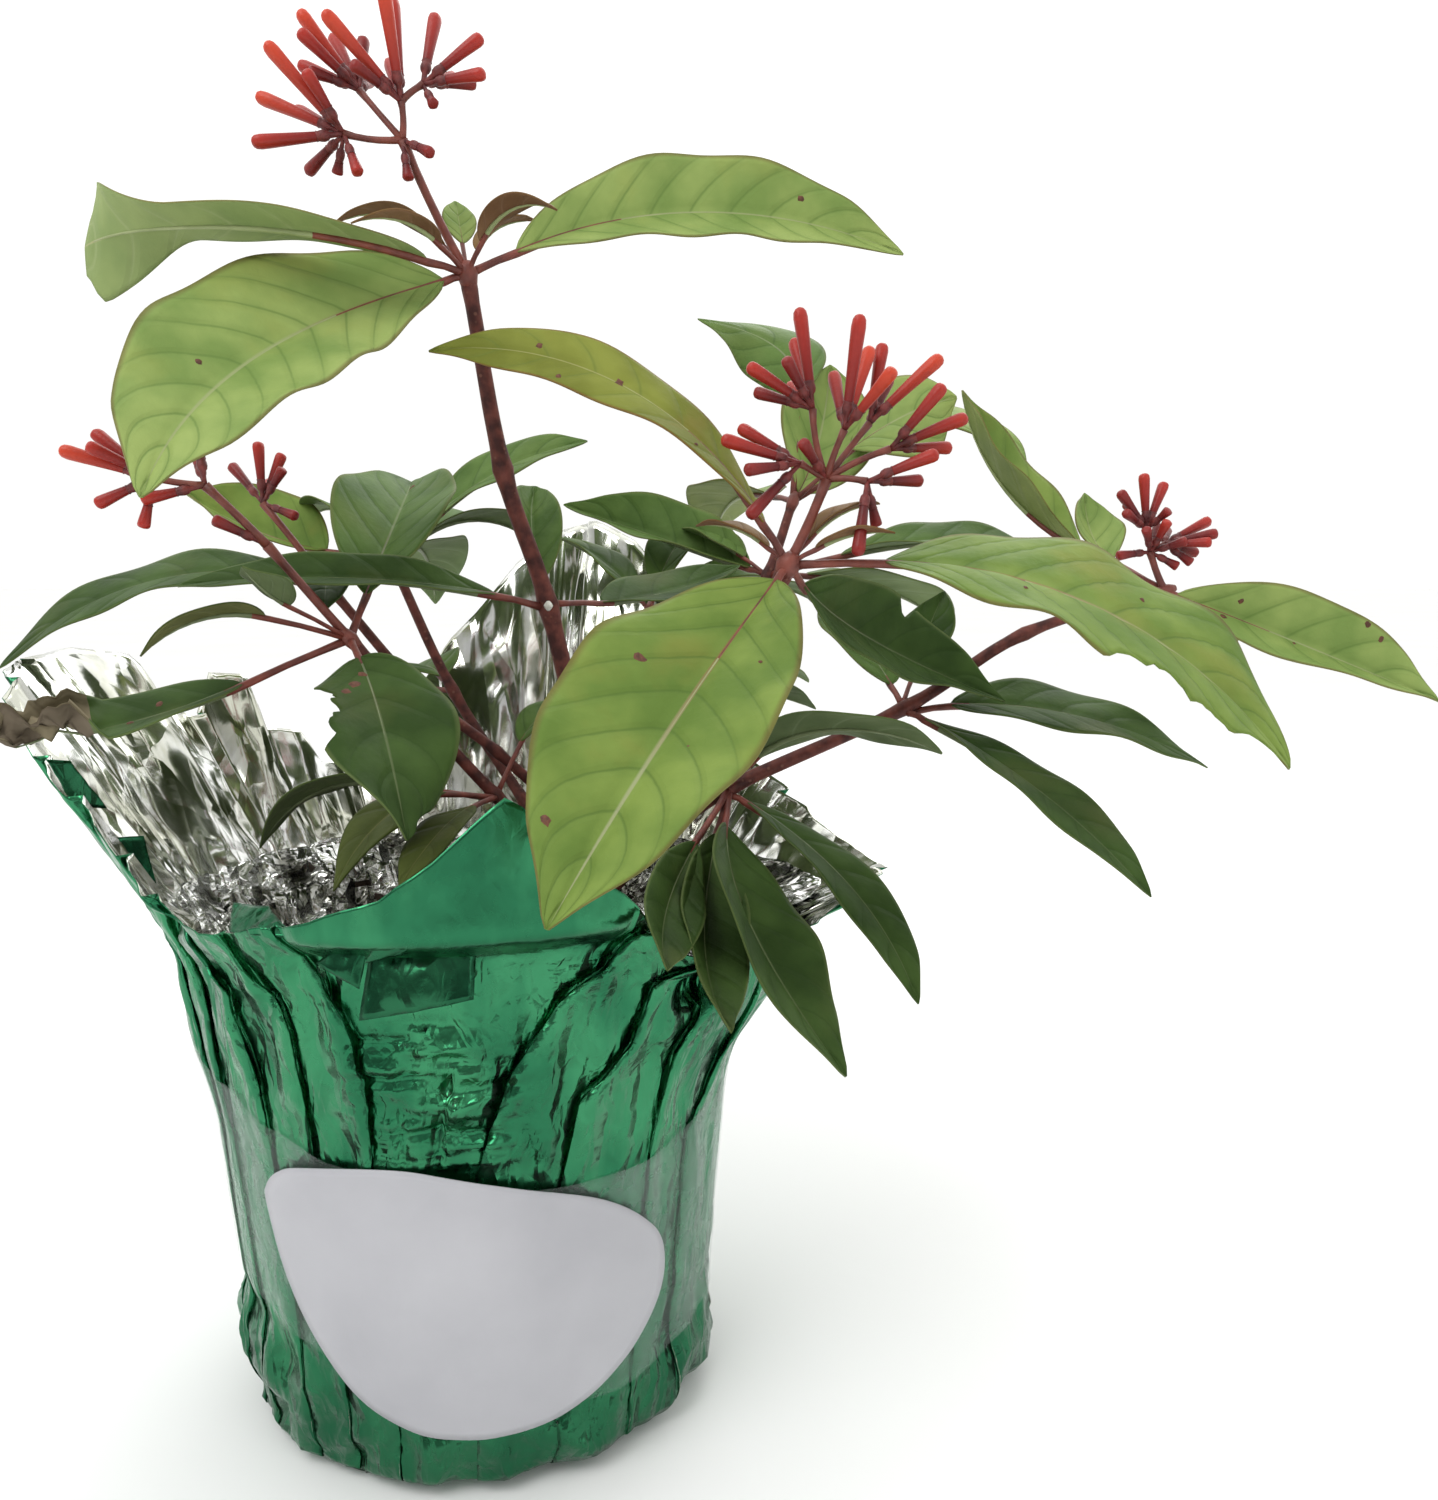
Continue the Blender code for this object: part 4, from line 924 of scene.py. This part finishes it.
def add_cluster(cluster, stalks, stalk_layers, flowers, layers, node, stalk):
    arms, groups = cluster
    ends = {"node": node}
    for name, start, angle, towards, length, radius in arms:
        ends[name] = add_arm(stalks, stalk_layers, ends[start], angle, towards, length / 10000,
                             radius / 10000)
    for arm, *rows in groups:
        for angle, towards, length, tone in rows:
            add_flower(flowers, layers, ends[arm], angle, towards, length / 10000, stalk, tone)


def build_plant():
    for name in STEMS:
        add_stem(name, ROOT_STUB if name == "main_stem" else 0)
    shoot_tip("top_leaves_and_flowers", "main_stem", (
        leaf("pale", -128.4, 5, 827, 145, 8.3, -94.9, 114, -3.5, 7, -22.7, flare=(0.62, 0.0135, -72)),
        leaf("pale", -150, -19, 1000, 380, 27, 63, 60, 55, 17, -40, veins=10,
             spots=((0.3, 0.62, 0.0008),)),
        leaf("pale", 22, 28, 980, 260, 52, -25, 130, -58, 27, -14, veins=10,
             spots=((-0.5, 0.72, 0.0009),)),
        leaf("bronze", 178, 52, 280, 90, 85, 10, 80),
        leaf("bronze", -116, 25, 260, 80, 55, -16, 100),
        leaf("bronze", -40, 50, 240, 90, 80, 20, 80),
        leaf("bronze", 60, 60, 200, 80, 60, -35, 70),
        leaf("pale", 110, 55, 160, 80, 10, 0, 100),
    ))
    whorl_on_stem("middle_leaves", "main_stem", 3, (
        leaf("dark", -140, 11, 750, 160, 19, -54, 150, 25, 18, 8),
        leaf("middle", 112, 44, 440, 170, 15, -23, 90, -20, 40, 14),
        leaf("dark", 48, 2, 470, 210, -20, -25, 180, -15),
    ), scar=(0.0005, -0.0022, 0))
    shoot_tip("left_front_leaves_and_flowers", "left_front_stem", (
        leaf("dark", -62, -22, 540, 290, 33, -2, 100, -18, 8, 50, wave=0.06,
             bites=((1, 0.24, 0.52, 0.46), (1, 0.46, 0.62, 0.26), (-1, 0.88, 0.96, 0.3)),
             spots=((0.3, 0.22, 0.0016), (0.45, 0.28, 0.0012), (0.1, 0.14, 0.0011))),
        leaf("dark", -155, -22, 500, 190, -18, 0, 250, 20, dry=0.6, flare=(0.6, 0.008, 0),
             spots=((0.3, 0.35, 0.0009), (-0.2, 0.48, 0.0008))),
        leaf("middle", 83, 45, 670, 330, 35, 19, 140, -10, 30, 8, spots=((0.1, 0.82, 0.001),)),
        leaf("dark", -122, 26, 140, 140, -20, 0, 180),
        leaf("olive", -137, 16, 280, 120, 66, -15, 200, -10),
    ))
    shoot_tip("left_back_leaves_and_flowers", "left_back_stem", (
        leaf("dark", 173, 15, 830, 240, 62, 26, 80, 24, 5),
        leaf("middle", 100, 25, 300, 160, 40, 10, 100),
        leaf("dark", -75, 10, 260, 120, 50, 0, 100),
    ))
    shoot_tip("right_front_leaves_and_flowers", "right_front_stem", (
        leaf("fresh", -124, -33, 980, 450, 5, 7, 60, 10, 20, 10, veins=9,
             spots=((0.55, 0.383, 0.0014), (0.7, 0.817, 0.0012), (-0.3, 0.55, 0.0006), (-0.55, 0.3, 0.0005))),
        leaf("fresh", -6, 2, 990, 500, 58, -8, 210, -20, 4, -9, veins=9,
             bites=((1, 0.5, 0.62, 0.22), (1, 0.56, 0.72, 0.3), (1, 0.7, 0.84, 0.22), (1, 0.84, 0.97, 0.25)),
             spots=((0.4, 0.3, 0.0006), (-0.4, 0.55, 0.0006))),
        leaf("lime", 172, 60, 900, 180, 66, -3, 100, 10, 4, 59,
             spots=((0, 0.5, 0.0011), (-0.7, 0.633, 0.0008), (0.3, 0.72, 0.0008), (-0.5, 0.25, 0.0006))),
        leaf("dark", 64, -25, 730, 260, -2, -65, 100, -90, 26, 60, bites=((-1, 0.5, 0.58, 0.3),)),
        leaf("bronze", 150, 40, 200, 80, 50, 0, 60),
        leaf("bronze", 20, 50, 200, 90, 50, 0, 70),
        leaf("bronze", -20, 30, 180, 80, 40, 0, 70),
    ))
    whorl_on_stem("right_back_low_leaves", "right_back_stem", 3, (
        leaf("middle", 137, 15, 680, 260, -4, 34, 70, 23, 35, 19),
        leaf("middle", 140, 30, 260, 150, 20, 0, 100),
        leaf("middle", -20, 14, 660, 240, 28, 60, 220, -15),
        leaf("middle", 20, 0, 600, 260, 35, 20, 120),
    ))
    shoot_tip("right_back_leaves", "right_back_stem", (
        leaf("middle", 82, 63, 530, 250, 59, 117, 340, 45, -15, -12),
        leaf("pale", 59, 39, 480, 340, -39, 11, 40, -52, 30, 30),
        leaf("pale", 10, 41, 350, 340, 30, -9, 230, -11, -10, -70),
        leaf("pale", 28, 28, 440, 240, 95, -37, 500, -24, 4, -9),
        leaf("fresh", 115, 12, 700, 300, 40, -20, 120),
    ))
    whorl_on_stem("right_low_leaves", "right_stem", 2, (
        leaf("dark", -51, 42, 540, 190, 73, 57, 120, 7, 4, 31),
        leaf("dark", -19, -27, 700, 180, 15, -56, 60, 2, 6),
        leaf("dark", -91, -30, 720, 290, 19, 63, 140, 55, 20, -65),
        leaf("dark", -102, -37, 730, 200, -32, 28, 150, 30, 30),
        leaf("dark", -110, -23, 580, 170, -19, 30, 240, 55, 22, -20),
        leaf("middle", 95, 15, 400, 200, 40, 0, 100),
    ))
    whorl_on_stem("right_middle_leaves", "right_stem", 3, (
        leaf("dark", 71, 35, 340, 170, -12, -20, 130),
        leaf("dark", 3, 4, 690, 290, 35, -14, 120, -24, 6, 14),
        leaf("dark", -33, -22, 730, 190, 13, -28, 60, 3, 9, -8),
        leaf("middle", 106, 32, 520, 220, 20, 0, 100),
    ))
    shoot_tip("right_end_leaves_and_flowers", "right_stem", (
        leaf("pale", -17, -21, 700, 250, 3, 9, 30, -72, 36, 30,
             spots=((0.2, 0.183, 0.0011), (-0.45, 0.217, 0.0008), (-0.9, 0.65, 0.0009), (-0.8, 0.717, 0.001),
                    (0.1, 0.45, 0.0006))),
        leaf("fresh", 144, 27, 570, 280, -50, 32, 260, -5, 30, 27),
        leaf("pale", 109, 21, 280, 180, -50, -22, 240, 10, 30, -35),
        leaf("fresh", 55, -5, 560, 240, 45, 0, 100),
    ), stalk=0.002)
    shoot_tip("back_left_leaves", "back_left_stem", (
        leaf("fresh", 151, 7, 480, 320, -29, 60, 260, 25, 28, 12),
        leaf("middle", 18, 45, 520, 220, 36, -16, 160, -22, 11, -11),
        leaf("middle", 90, 15, 680, 280, 60, 10, 120),
        leaf("middle", 135, 40, 450, 220, 60, 0, 100),
        leaf("middle", 50, 35, 500, 220, 70, 0, 100),
    ), lower=(
        leaf("middle", 118, 16, 600, 260, 55, 8, 120, 8),
        leaf("dark", 138, 0, 500, 220, 40, -8, 150, -12),
    ))
    shoot_tip("back_leaves", "back_stem", (
        leaf("middle", 152, 48, 360, 190, 35, -5, 60),
        leaf("dark", 90, 20, 780, 300, 75, 0, 120),
        leaf("middle", 30, 25, 600, 260, 60, 0, 100, -10),
        leaf("middle", 60, 60, 400, 180, 50, 0, 80),
    ), lower=(
        leaf("middle", 33, 20, 580, 250, 50, 6, 100, -10),
        leaf("dark", 8, 4, 440, 200, 30, 10, 120, 12),
    ))
    whorl_on_stem("inner_leaves", "left_front_stem", 1, (
        leaf("dark", -160, 10, 320, 180, 76, 16, 300, -22, 4, -10),
        leaf("olive", -113, 11, 390, 150, 78, -27, 220, 1, 4),
        leaf("olive", -99, 1, 370, 120, 37, -11, 170, -14, 6, 19),
        leaf("middle", 60, 50, 240, 120, 50, -40, 160),
    ))


# Foil cover

def around(heading):
    return (heading + 180) % 360 - 180


def at_heading(table, heading, soft=False):
    """Numbers of a closed table of headings, in between."""
    return along_table(table, around(heading), soft)


def all_pleats():
    """The front's pleats, then those round the sides and back, in order."""
    pleats = list(FRONT_PLEATS)
    for heading, drift in BACK_PLEATS:
        side = 1 if 0 < around(heading) < 88 else -1
        pleats.append((side, ((0, heading + drift * 0.3), (0.08, heading), (0.105, heading + drift * 0.4),
                              (0.125, heading + drift), (0.23, heading + drift * 1.5))))
    return sorted(pleats, key=lambda pleat: pleat[1][0][1])


# Profile of a pleat's fold: shift along the wall and lift off it, in fold sizes
FOLD_STEPS = ((1, 1), (0.9, 0.45), (-1, -0.1), (-1.1, -0.7), (0.3, -0.8))


def foil_columns(pleats):
    """Columns of the sheet: each is a pleat's number, a share across its panel,
    and for a fold a shift along the wall and a lift off it, in fold sizes."""
    columns = []
    for index, (side, places) in enumerate(pleats):
        after = pleats[(index + 1) % len(pleats)]
        span = (along_table(after[1], 0.11)[0] - along_table(places, 0.11)[0]) % 360
        for shift, lift in FOLD_STEPS[::-side]:
            columns.append((index, 0, -side * shift, lift))
        count = max(6, round(radians(span) * NECK_RADIUS / 0.0016))
        columns += [(index, step / count, 0, 0) for step in range(1, count)]
    return columns


PLEATS = all_pleats()
COLUMNS = foil_columns(PLEATS)


def collar_radius(heading, share, height):
    """Mean radius of the collar, with the step in the front flap."""
    radius = NECK_RADIUS + (at_heading(RIM, heading)[0] - NECK_RADIUS) * share ** 1.15
    return radius + (along_table(FLAP_PROFILE, height)[0] - radius) * front_flap(around(heading))


def lean(turn, height):
    """How far the wrap sits to the right of the pot's middle, between foot and rim."""
    return LEAN * cos(turn) * eased(height, 0, 0.006) * (1 - eased(height, 0.12, 0.15))


def front_flap(heading):
    return eased(heading, -112, -100) * (1 - eased(heading, -58, -46))


def looseness(height):
    """How much the pleats stand out: little under the tape, all above it."""
    return eased(height, 0.076, 0.1)


def creased_share(heading, height):
    """1 where the foil is creased, and 0 on the smooth front flap."""
    return 1 - front_flap(around(heading)) * eased(height, 0.126, 0.134)


def foil_point(column, height, share):
    """Point of the foil sheet as a turn, a radius and a height. Below the neck
    share is 0; above it is the share of the way from the neck to the rim."""
    index, across, shift, lift = COLUMNS[column % len(COLUMNS)]
    side, places = PLEATS[index]
    after_side, after_places = PLEATS[(index + 1) % len(PLEATS)]
    level = height if share == 0 else NECK_HEIGHT + share * 0.05
    low, high = along_table(places, level)[0], along_table(after_places, level)[0]
    span = (high - low) % 360
    heading = low + span * across
    calm = 1
    if share > 0:
        height = NECK_HEIGHT + (at_heading(RIM, heading)[1] - NECK_HEIGHT) * share
        radius = collar_radius(heading, share, height)
        calm = creased_share(heading, height)
    else:
        radius = along_table(BODY_PROFILE, height)[0]
    loose = looseness(height)
    foot = 1 - eased(height, 0.016, 0.04)
    depth = (0.0005 + 0.0011 * loose + 0.0003 * share) * (1 - 0.5 * foot) * calm
    over = (0.0003 + 0.0008 * loose) * (1 - 0.85 * share) * (1 - 0.6 * foot) * calm
    offset = depth * (lift - 0.2)
    if across:
        arc, rest = (part * radians(span) * radius for part in (across, 1 - across))
        raised = exp(-arc / 0.009) * 1.2 if side > 0 else -exp(-arc / 0.002) * 0.5
        raised += exp(-rest / 0.009) * 1.2 if after_side < 0 else -exp(-rest / 0.002) * 0.5
        offset = depth * (raised - 0.2)
    turn = radians(heading) + shift * over / radius
    spot = Vector((cos(turn), sin(turn), 0))
    offset += foil_creases(spot, around(heading), height, share, calm)
    for fold_side, start, end, line in SHORT_PLEATS:
        if share == 0 and start < height < end:
            edge = radians(around(heading - along_table(line, height)[0])) * radius * fold_side
            window = eased(height, start, start + 0.006) * (1 - eased(height, end - 0.006, end))
            offset += window * ((0.0012 * near(edge, 0.004) if edge > 0 else 0)
                                - 0.0012 * near(edge + 0.0009, 0.0008))
    for dent, middle, wide, tall, deep in DENTS:
        away = (around(heading - dent) / wide) ** 2 + ((height - middle) / tall) ** 2
        offset += deep * exp(-away ** 1.5)
    return turn, radius + offset + lean(turn, height), height


def foil_creases(spot, heading, height, share, calm):
    """Creases of the foil: upright on the wall, level on the front panel, and
    crumpled at the foot, at the corners and where the lining is gathered."""
    def at(wide, tall, shift=0):
        return facets(Vector((spot.x * wide + shift, spot.y * wide, height * tall + shift))) - 0.7

    loose = looseness(height)
    offset = (0.0005 + 0.0012 * loose + 0.0008 * share) * at(8, 22) * calm
    offset += (0.0002 + 0.0006 * loose) * at(17, 60, 4) * calm
    panel = eased(height, 0.079, 0.086) * (1 - eased(height, 0.11, 0.122))
    panel *= near(heading - PANEL_HEADING, 15, 4)
    offset += 0.0022 * panel * noise.noise(Vector((spot.x * 4, spot.y * 4, height * 380)))
    offset += 0.0022 * panel * at(4.5, 190, 5)
    if share > 0:
        flap = front_flap(heading)
        rough = eased(share, 0, 0.2)
        gathered = (1 - eased(share, 0.12, 0.45)) * (1 - flap)
        corner = near(around(heading - 176), 15) + 0.3 * near(around(heading + 8), 14)
        offset += 0.0016 * rough * gathered * at(9, 130, 8)
        offset += 0.0034 * rough * corner * share * at(9, 14, 2)
        offset += 0.003 * rough * (1 - flap) * share * at(3.4, 9, 3)
        offset += 0.0012 * flap * noise.noise(spot * 6) * eased(height, 0.135, 0.15)
    foot = (1 - eased(height, 0.022, 0.046)) * eased(height, 0, 0.005)
    label = near(heading - PANEL_HEADING, 34, 4) * eased(height, 0.014, 0.018)
    offset += foot * (1 - 0.9 * label) * (0.0034 * at(4.6, 48, 3) + 0.0012 * at(9, 110, 6))
    return offset - 0.0008 * label * foot


def build_foil_cover():
    """The foil as one sheet: flat underside, pleated wall, and flared collar
    with its corners and the front flap."""
    base, wall, collar = 3, WALL_ROWS[-1][0], 40
    count, total = len(COLUMNS), base + wall + collar

    def place(column, row):
        if row < base:
            turn = foil_point(column, 0, 0)[0]
            radius = FOIL_FOOT_RADIUS * row / base
            height = 0.0004 * (1 + noise.noise(Vector((cos(turn), sin(turn), 0)) * radius * 90))
        elif row <= base + wall:
            level = along_table(WALL_ROWS, row - base)[0]
            turn, radius, height = foil_point(column, level, 0)
            radius = FOIL_FOOT_RADIUS + (radius - FOIL_FOOT_RADIUS) * eased(height, 0, 0.004)
        else:
            turn, radius, height = foil_point(column, NECK_HEIGHT, (row - base - wall) / collar)
        creased = 0.12 + 0.88 * creased_share(degrees(turn), height)
        # Painted shade: towards its foot the foil's colour is darkened through the second map
        painted_foot_shade = 0.42 * (1 - eased(height, 0.014, 0.044))
        return ring_point(turn, radius, height), (creased, painted_foot_shade)

    bent_piece("foil_sheet", count, total, place, [GREEN_FOIL, SILVER_FOIL], "foil_cover",
               FOIL_WALL, -1)


def build_foil_gathers():
    """Crumpled lining that is gathered in over the pot's rim."""
    columns, rows = 320, 34

    def place(column, row):
        heading, share = 360 * column / columns, row / rows
        turn = 2 * pi * column / columns
        spot = Vector((cos(turn), sin(turn), 0))
        radius, height = along_table(GATHERS_PROFILE, share)
        rim = at_heading(RIM, heading)[1]
        height = min(height, rim - LINING_DROP)
        above = (height - NECK_HEIGHT) / (rim - NECK_HEIGHT)
        if above > 0:
            inside = collar_radius(heading, above, height) - LINING_GAP
            radius += (inside - radius) * eased(share, 0.5, 1)
        squeeze = 0.35 + 0.65 * sin(pi * min(share * 1.05, 1))
        folds = facets(Vector((spot.x * 6, spot.y * 6, share * 4.5))) * 0.005 - 0.0024
        folds += facets(Vector((spot.x * 12, spot.y * 12, share * 8 + 4))) * 0.0016 - 0.0007
        height += folds * squeeze
        radius += min(folds, 0.0012) * 0.6 * squeeze + lean(turn, height)
        return Vector((radius * spot.x, radius * spot.y, height)), ALL_CREASED

    bent_piece("foil_gathers", columns, rows, place, [GATHERED_FOIL_WITH_PAINTED_SHADE], "foil_cover",
               FOIL_WALL, 0)


def build_foil_folds():
    """Small turned-over folds under the front flap and on the left of the rim."""
    columns, rows = 14, 10
    bm = bmesh.new()
    layers = new_layers(bm)
    for corners in FOIL_FOLDS:
        low_left, low_right, high_right, high_left = (Vector(corner) for corner in in_metres(corners))

        def place(column, row):
            across, up = column / columns, row / rows
            low, high = low_left.lerp(low_right, across), high_left.lerp(high_right, across)
            heading, radius, height = low.lerp(high, up)
            turn = radians(heading)
            radius += 0.0009 * sin(pi * across) * sin(pi * up) + lean(turn, height)
            radius += 0.0005 * noise.noise(Vector((heading * 0.4, height * 300, 2)))
            # Painted shade: the folds' map darkens their colour
            return ring_point(turn, radius, height), FOLD_PAINTED_SHADE_MARK

        bend_grid(bm, layers, columns, rows, place)
    made = finish_piece("foil_folds", bm, [GREEN_FOIL, SILVER_FOIL], "foil_cover")
    add_wall(made, FOIL_WALL, 0, 1)


def foil_outline(height):
    """Outermost reach of the foil round each whole degree, at one height."""
    reach = [0] * 360
    for column in range(len(COLUMNS)):
        turn, radius, _ = foil_point(column, height, 0)
        for beside in range(-3, 4):
            spot = (round(degrees(turn)) + beside) % 360
            reach[spot] = max(reach[spot], radius)
    return [sum(reach[(spot + beside) % 360] for beside in range(-3, 4)) / 7 for spot in range(360)]


def build_tape():
    """Clear tape wound a little askew over the pleats, faintly rippled."""
    columns, rows = 360, 24
    outlines = [foil_outline(TAPE_STEP * level) for level in TAPE_LEVELS]

    def place(column, row):
        heading = 360 * column / columns
        turn = radians(heading)
        top, bottom = at_heading(TAPE_EDGES, heading, soft=True)
        height = bottom + (top - bottom) * row / rows
        spot = Vector((cos(turn) * 16, sin(turn) * 16, height * 18))
        level, part = divmod(height / TAPE_STEP - TAPE_LEVELS[0], 1)
        low, high = (outlines[int(level) + above][column % 360] for above in (0, 1))
        radius = low + (high - low) * part + 0.0002 + 0.0002 * noise.noise(spot)
        return ring_point(turn, radius, height), UNMARKED

    bent_piece("tape", columns, rows, place, [TAPE], "clear_band", TAPE_WALL, 1)


def build_label():
    """Bare paper label, a rounded three-sided shape stuck a little askew."""
    rows = 18
    corners = [Vector((*corner, 0)) for corner in LABEL_OUTLINE]
    outline = smooth_path(corners + corners[:3], 7)[7:7 * (len(corners) + 1)]
    middle = Vector((*LABEL_MIDDLE, 0))
    columns = len(outline)

    def place(column, row):
        flat = middle.lerp(outline[column % columns], row / rows)
        turn = radians(LABEL_HEADING) + flat.x / LABEL_RADIUS
        radius = along_table(BODY_PROFILE, flat.y)[0] + LABEL_LIFT + lean(turn, flat.y)
        radius += 0.00018 * noise.noise(Vector((turn * 9, flat.y * 30, 1)))
        return ring_point(turn, radius, flat.y), UNMARKED

    bent_piece("label", columns, rows, place, [PAPER], "bare_label", LABEL_WALL, -1)


# Soil and pot

def build_soil():
    """Potting mix with a rough, crumbly top that rises a little round the stem."""
    columns, rows = 140, 60
    mound_x, mound_y, mound_wide, mound_rise = MOUND

    def place(column, row):
        turn = 2 * pi * column / columns
        part = row / rows
        if part < 0.25:
            radius, height = SOIL_FLOOR_RADIUS * (part / 0.25), SOIL_FLOOR
        elif part < 0.45:
            low = (part - 0.25) / 0.2
            radius = SOIL_FLOOR_RADIUS + (SOIL_RADIUS - SOIL_FLOOR_RADIUS) * low
            height = SOIL_FLOOR + (SOIL_LEVEL - 0.0055) * low
        else:
            radius, height = SOIL_RADIUS * (1 - (part - 0.45) / 0.55), SOIL_LEVEL
            x, y = radius * cos(turn), radius * sin(turn)
            ridges = 1 - 2 * abs(noise.noise(Vector((x * 330, y * 330, 5))))
            rough = noise.noise(Vector((x * 120, y * 120, 1))) * 0.0016 + ridges * 0.0008
            mound = exp(-(((x - mound_x) ** 2 + (y - mound_y) ** 2) / mound_wide ** 2)) * mound_rise
            edge = eased(radius, SOIL_RADIUS - 0.004, SOIL_RADIUS)
            height += (rough + mound) * (1 - edge) - 0.0012
        return ring_point(turn, radius, height), UNMARKED

    bm = bmesh.new()
    bend_grid(bm, new_layers(bm), columns, rows, place, merge=True)
    bmesh.ops.recalc_face_normals(bm, faces=bm.faces)
    for _ in range(CRUMBS):
        reach, turn = SOIL_RADIUS * random.uniform(0, 0.95) ** 0.6, random.uniform(0, 2 * pi)
        size = random.uniform(*CRUMB_SIZES)
        spot = ring_point(turn, reach, SOIL_LEVEL - 0.001 + size * 0.3)
        turned = Matrix.Translation(spot) @ Matrix.Rotation(random.uniform(0, 6), 4,
                                                            (random.random(), 1, random.random()))
        turned = turned @ Matrix.Diagonal((1, random.uniform(0.5, 1), random.uniform(0.4, 0.8), 1))
        bmesh.ops.create_icosphere(bm, subdivisions=1, radius=size, matrix=turned)
    finish_piece("soil", bm, [SOIL], "potting_soil")


def dress_pot():
    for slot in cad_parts["nursery_pot"].material_slots:
        slot.material = PLASTIC


# Floor, lights and camera

def build_stage():
    """Wide pale floor."""
    bm = bmesh.new()
    below = Matrix.Translation((0, 0, -0.0002))
    bmesh.ops.create_grid(bm, x_segments=8, y_segments=8, size=30, matrix=below)
    mesh = bpy.data.meshes.new("floor")
    bm.to_mesh(mesh)
    bm.free()
    look = Finish("pale_floor", (0.84, 0.84, 0.84), 0.75)
    look.give({"Base Color": look.mix(look.patches(3, 0.3, 0.7), (0.83, 0.83, 0.83), (0.86, 0.86, 0.86))})
    mesh.materials.append(look.made)
    floor = bpy.data.objects.new("floor", mesh)
    bpy.context.scene.collection.objects.link(floor)


# Lamps: name, place, aim, size and power
LAMPS = (
    ("key", (-0.55, -0.75, 1.15), (0.03, 0, 0.15), 0.8, 8),
    ("fill", (0.95, -0.85, 0.65), (0.05, 0, 0.15), 0.9, 2.5),
    ("back", (0.3, 1, 1.1), (0.05, 0, 0.2), 0.9, 4),
)


def add_light(name, place, aim, size, power):
    lamp = bpy.data.lights.new(name, "AREA")
    lamp.shape = "DISK"
    lamp.size = size
    lamp.energy = power
    made = bpy.data.objects.new(name, lamp)
    made.location = place
    made.rotation_euler = (Vector(aim) - Vector(place)).to_track_quat("-Z", "Y").to_euler()
    bpy.context.scene.collection.objects.link(made)


def build_lights():
    """Soft lamps, and a pale room that is brighter above and behind."""
    for lamp in LAMPS:
        add_light(*lamp)
    world = bpy.data.worlds.new("studio")
    world.use_nodes = True
    room = Nodes(world.node_tree)
    way = room.put("SeparateXYZ", {0: room.put("TexCoord").outputs["Generated"]}).outputs
    behind = room.spread(way[1], -0.6, 0.3, 0.26, 1.02)
    room.feed(world.node_tree.nodes["Background"], {
        0: (1, 1, 0.985, 1), 1: room.plus(behind, room.spread(way[2], 0.15, 1, 0, 0.75)),
    })
    bpy.context.scene.world = world


def build_camera():
    lens = bpy.data.cameras.new("camera")
    lens.lens = 28.8
    lens.sensor_width = 36
    lens.clip_start = 0.01
    made = bpy.data.objects.new("camera", lens)
    made.location = (0.066, -0.304, 0.206)
    made.rotation_euler = (radians(82), 0, 0)
    bpy.context.scene.collection.objects.link(made)
    bpy.context.scene.camera = made


bpy.context.scene.view_settings.view_transform = "Standard"
build_stage()
build_lights()
build_camera()
build_foil_cover()
build_foil_gathers()
build_foil_folds()
build_tape()
build_label()
build_soil()
dress_pot()
build_plant()
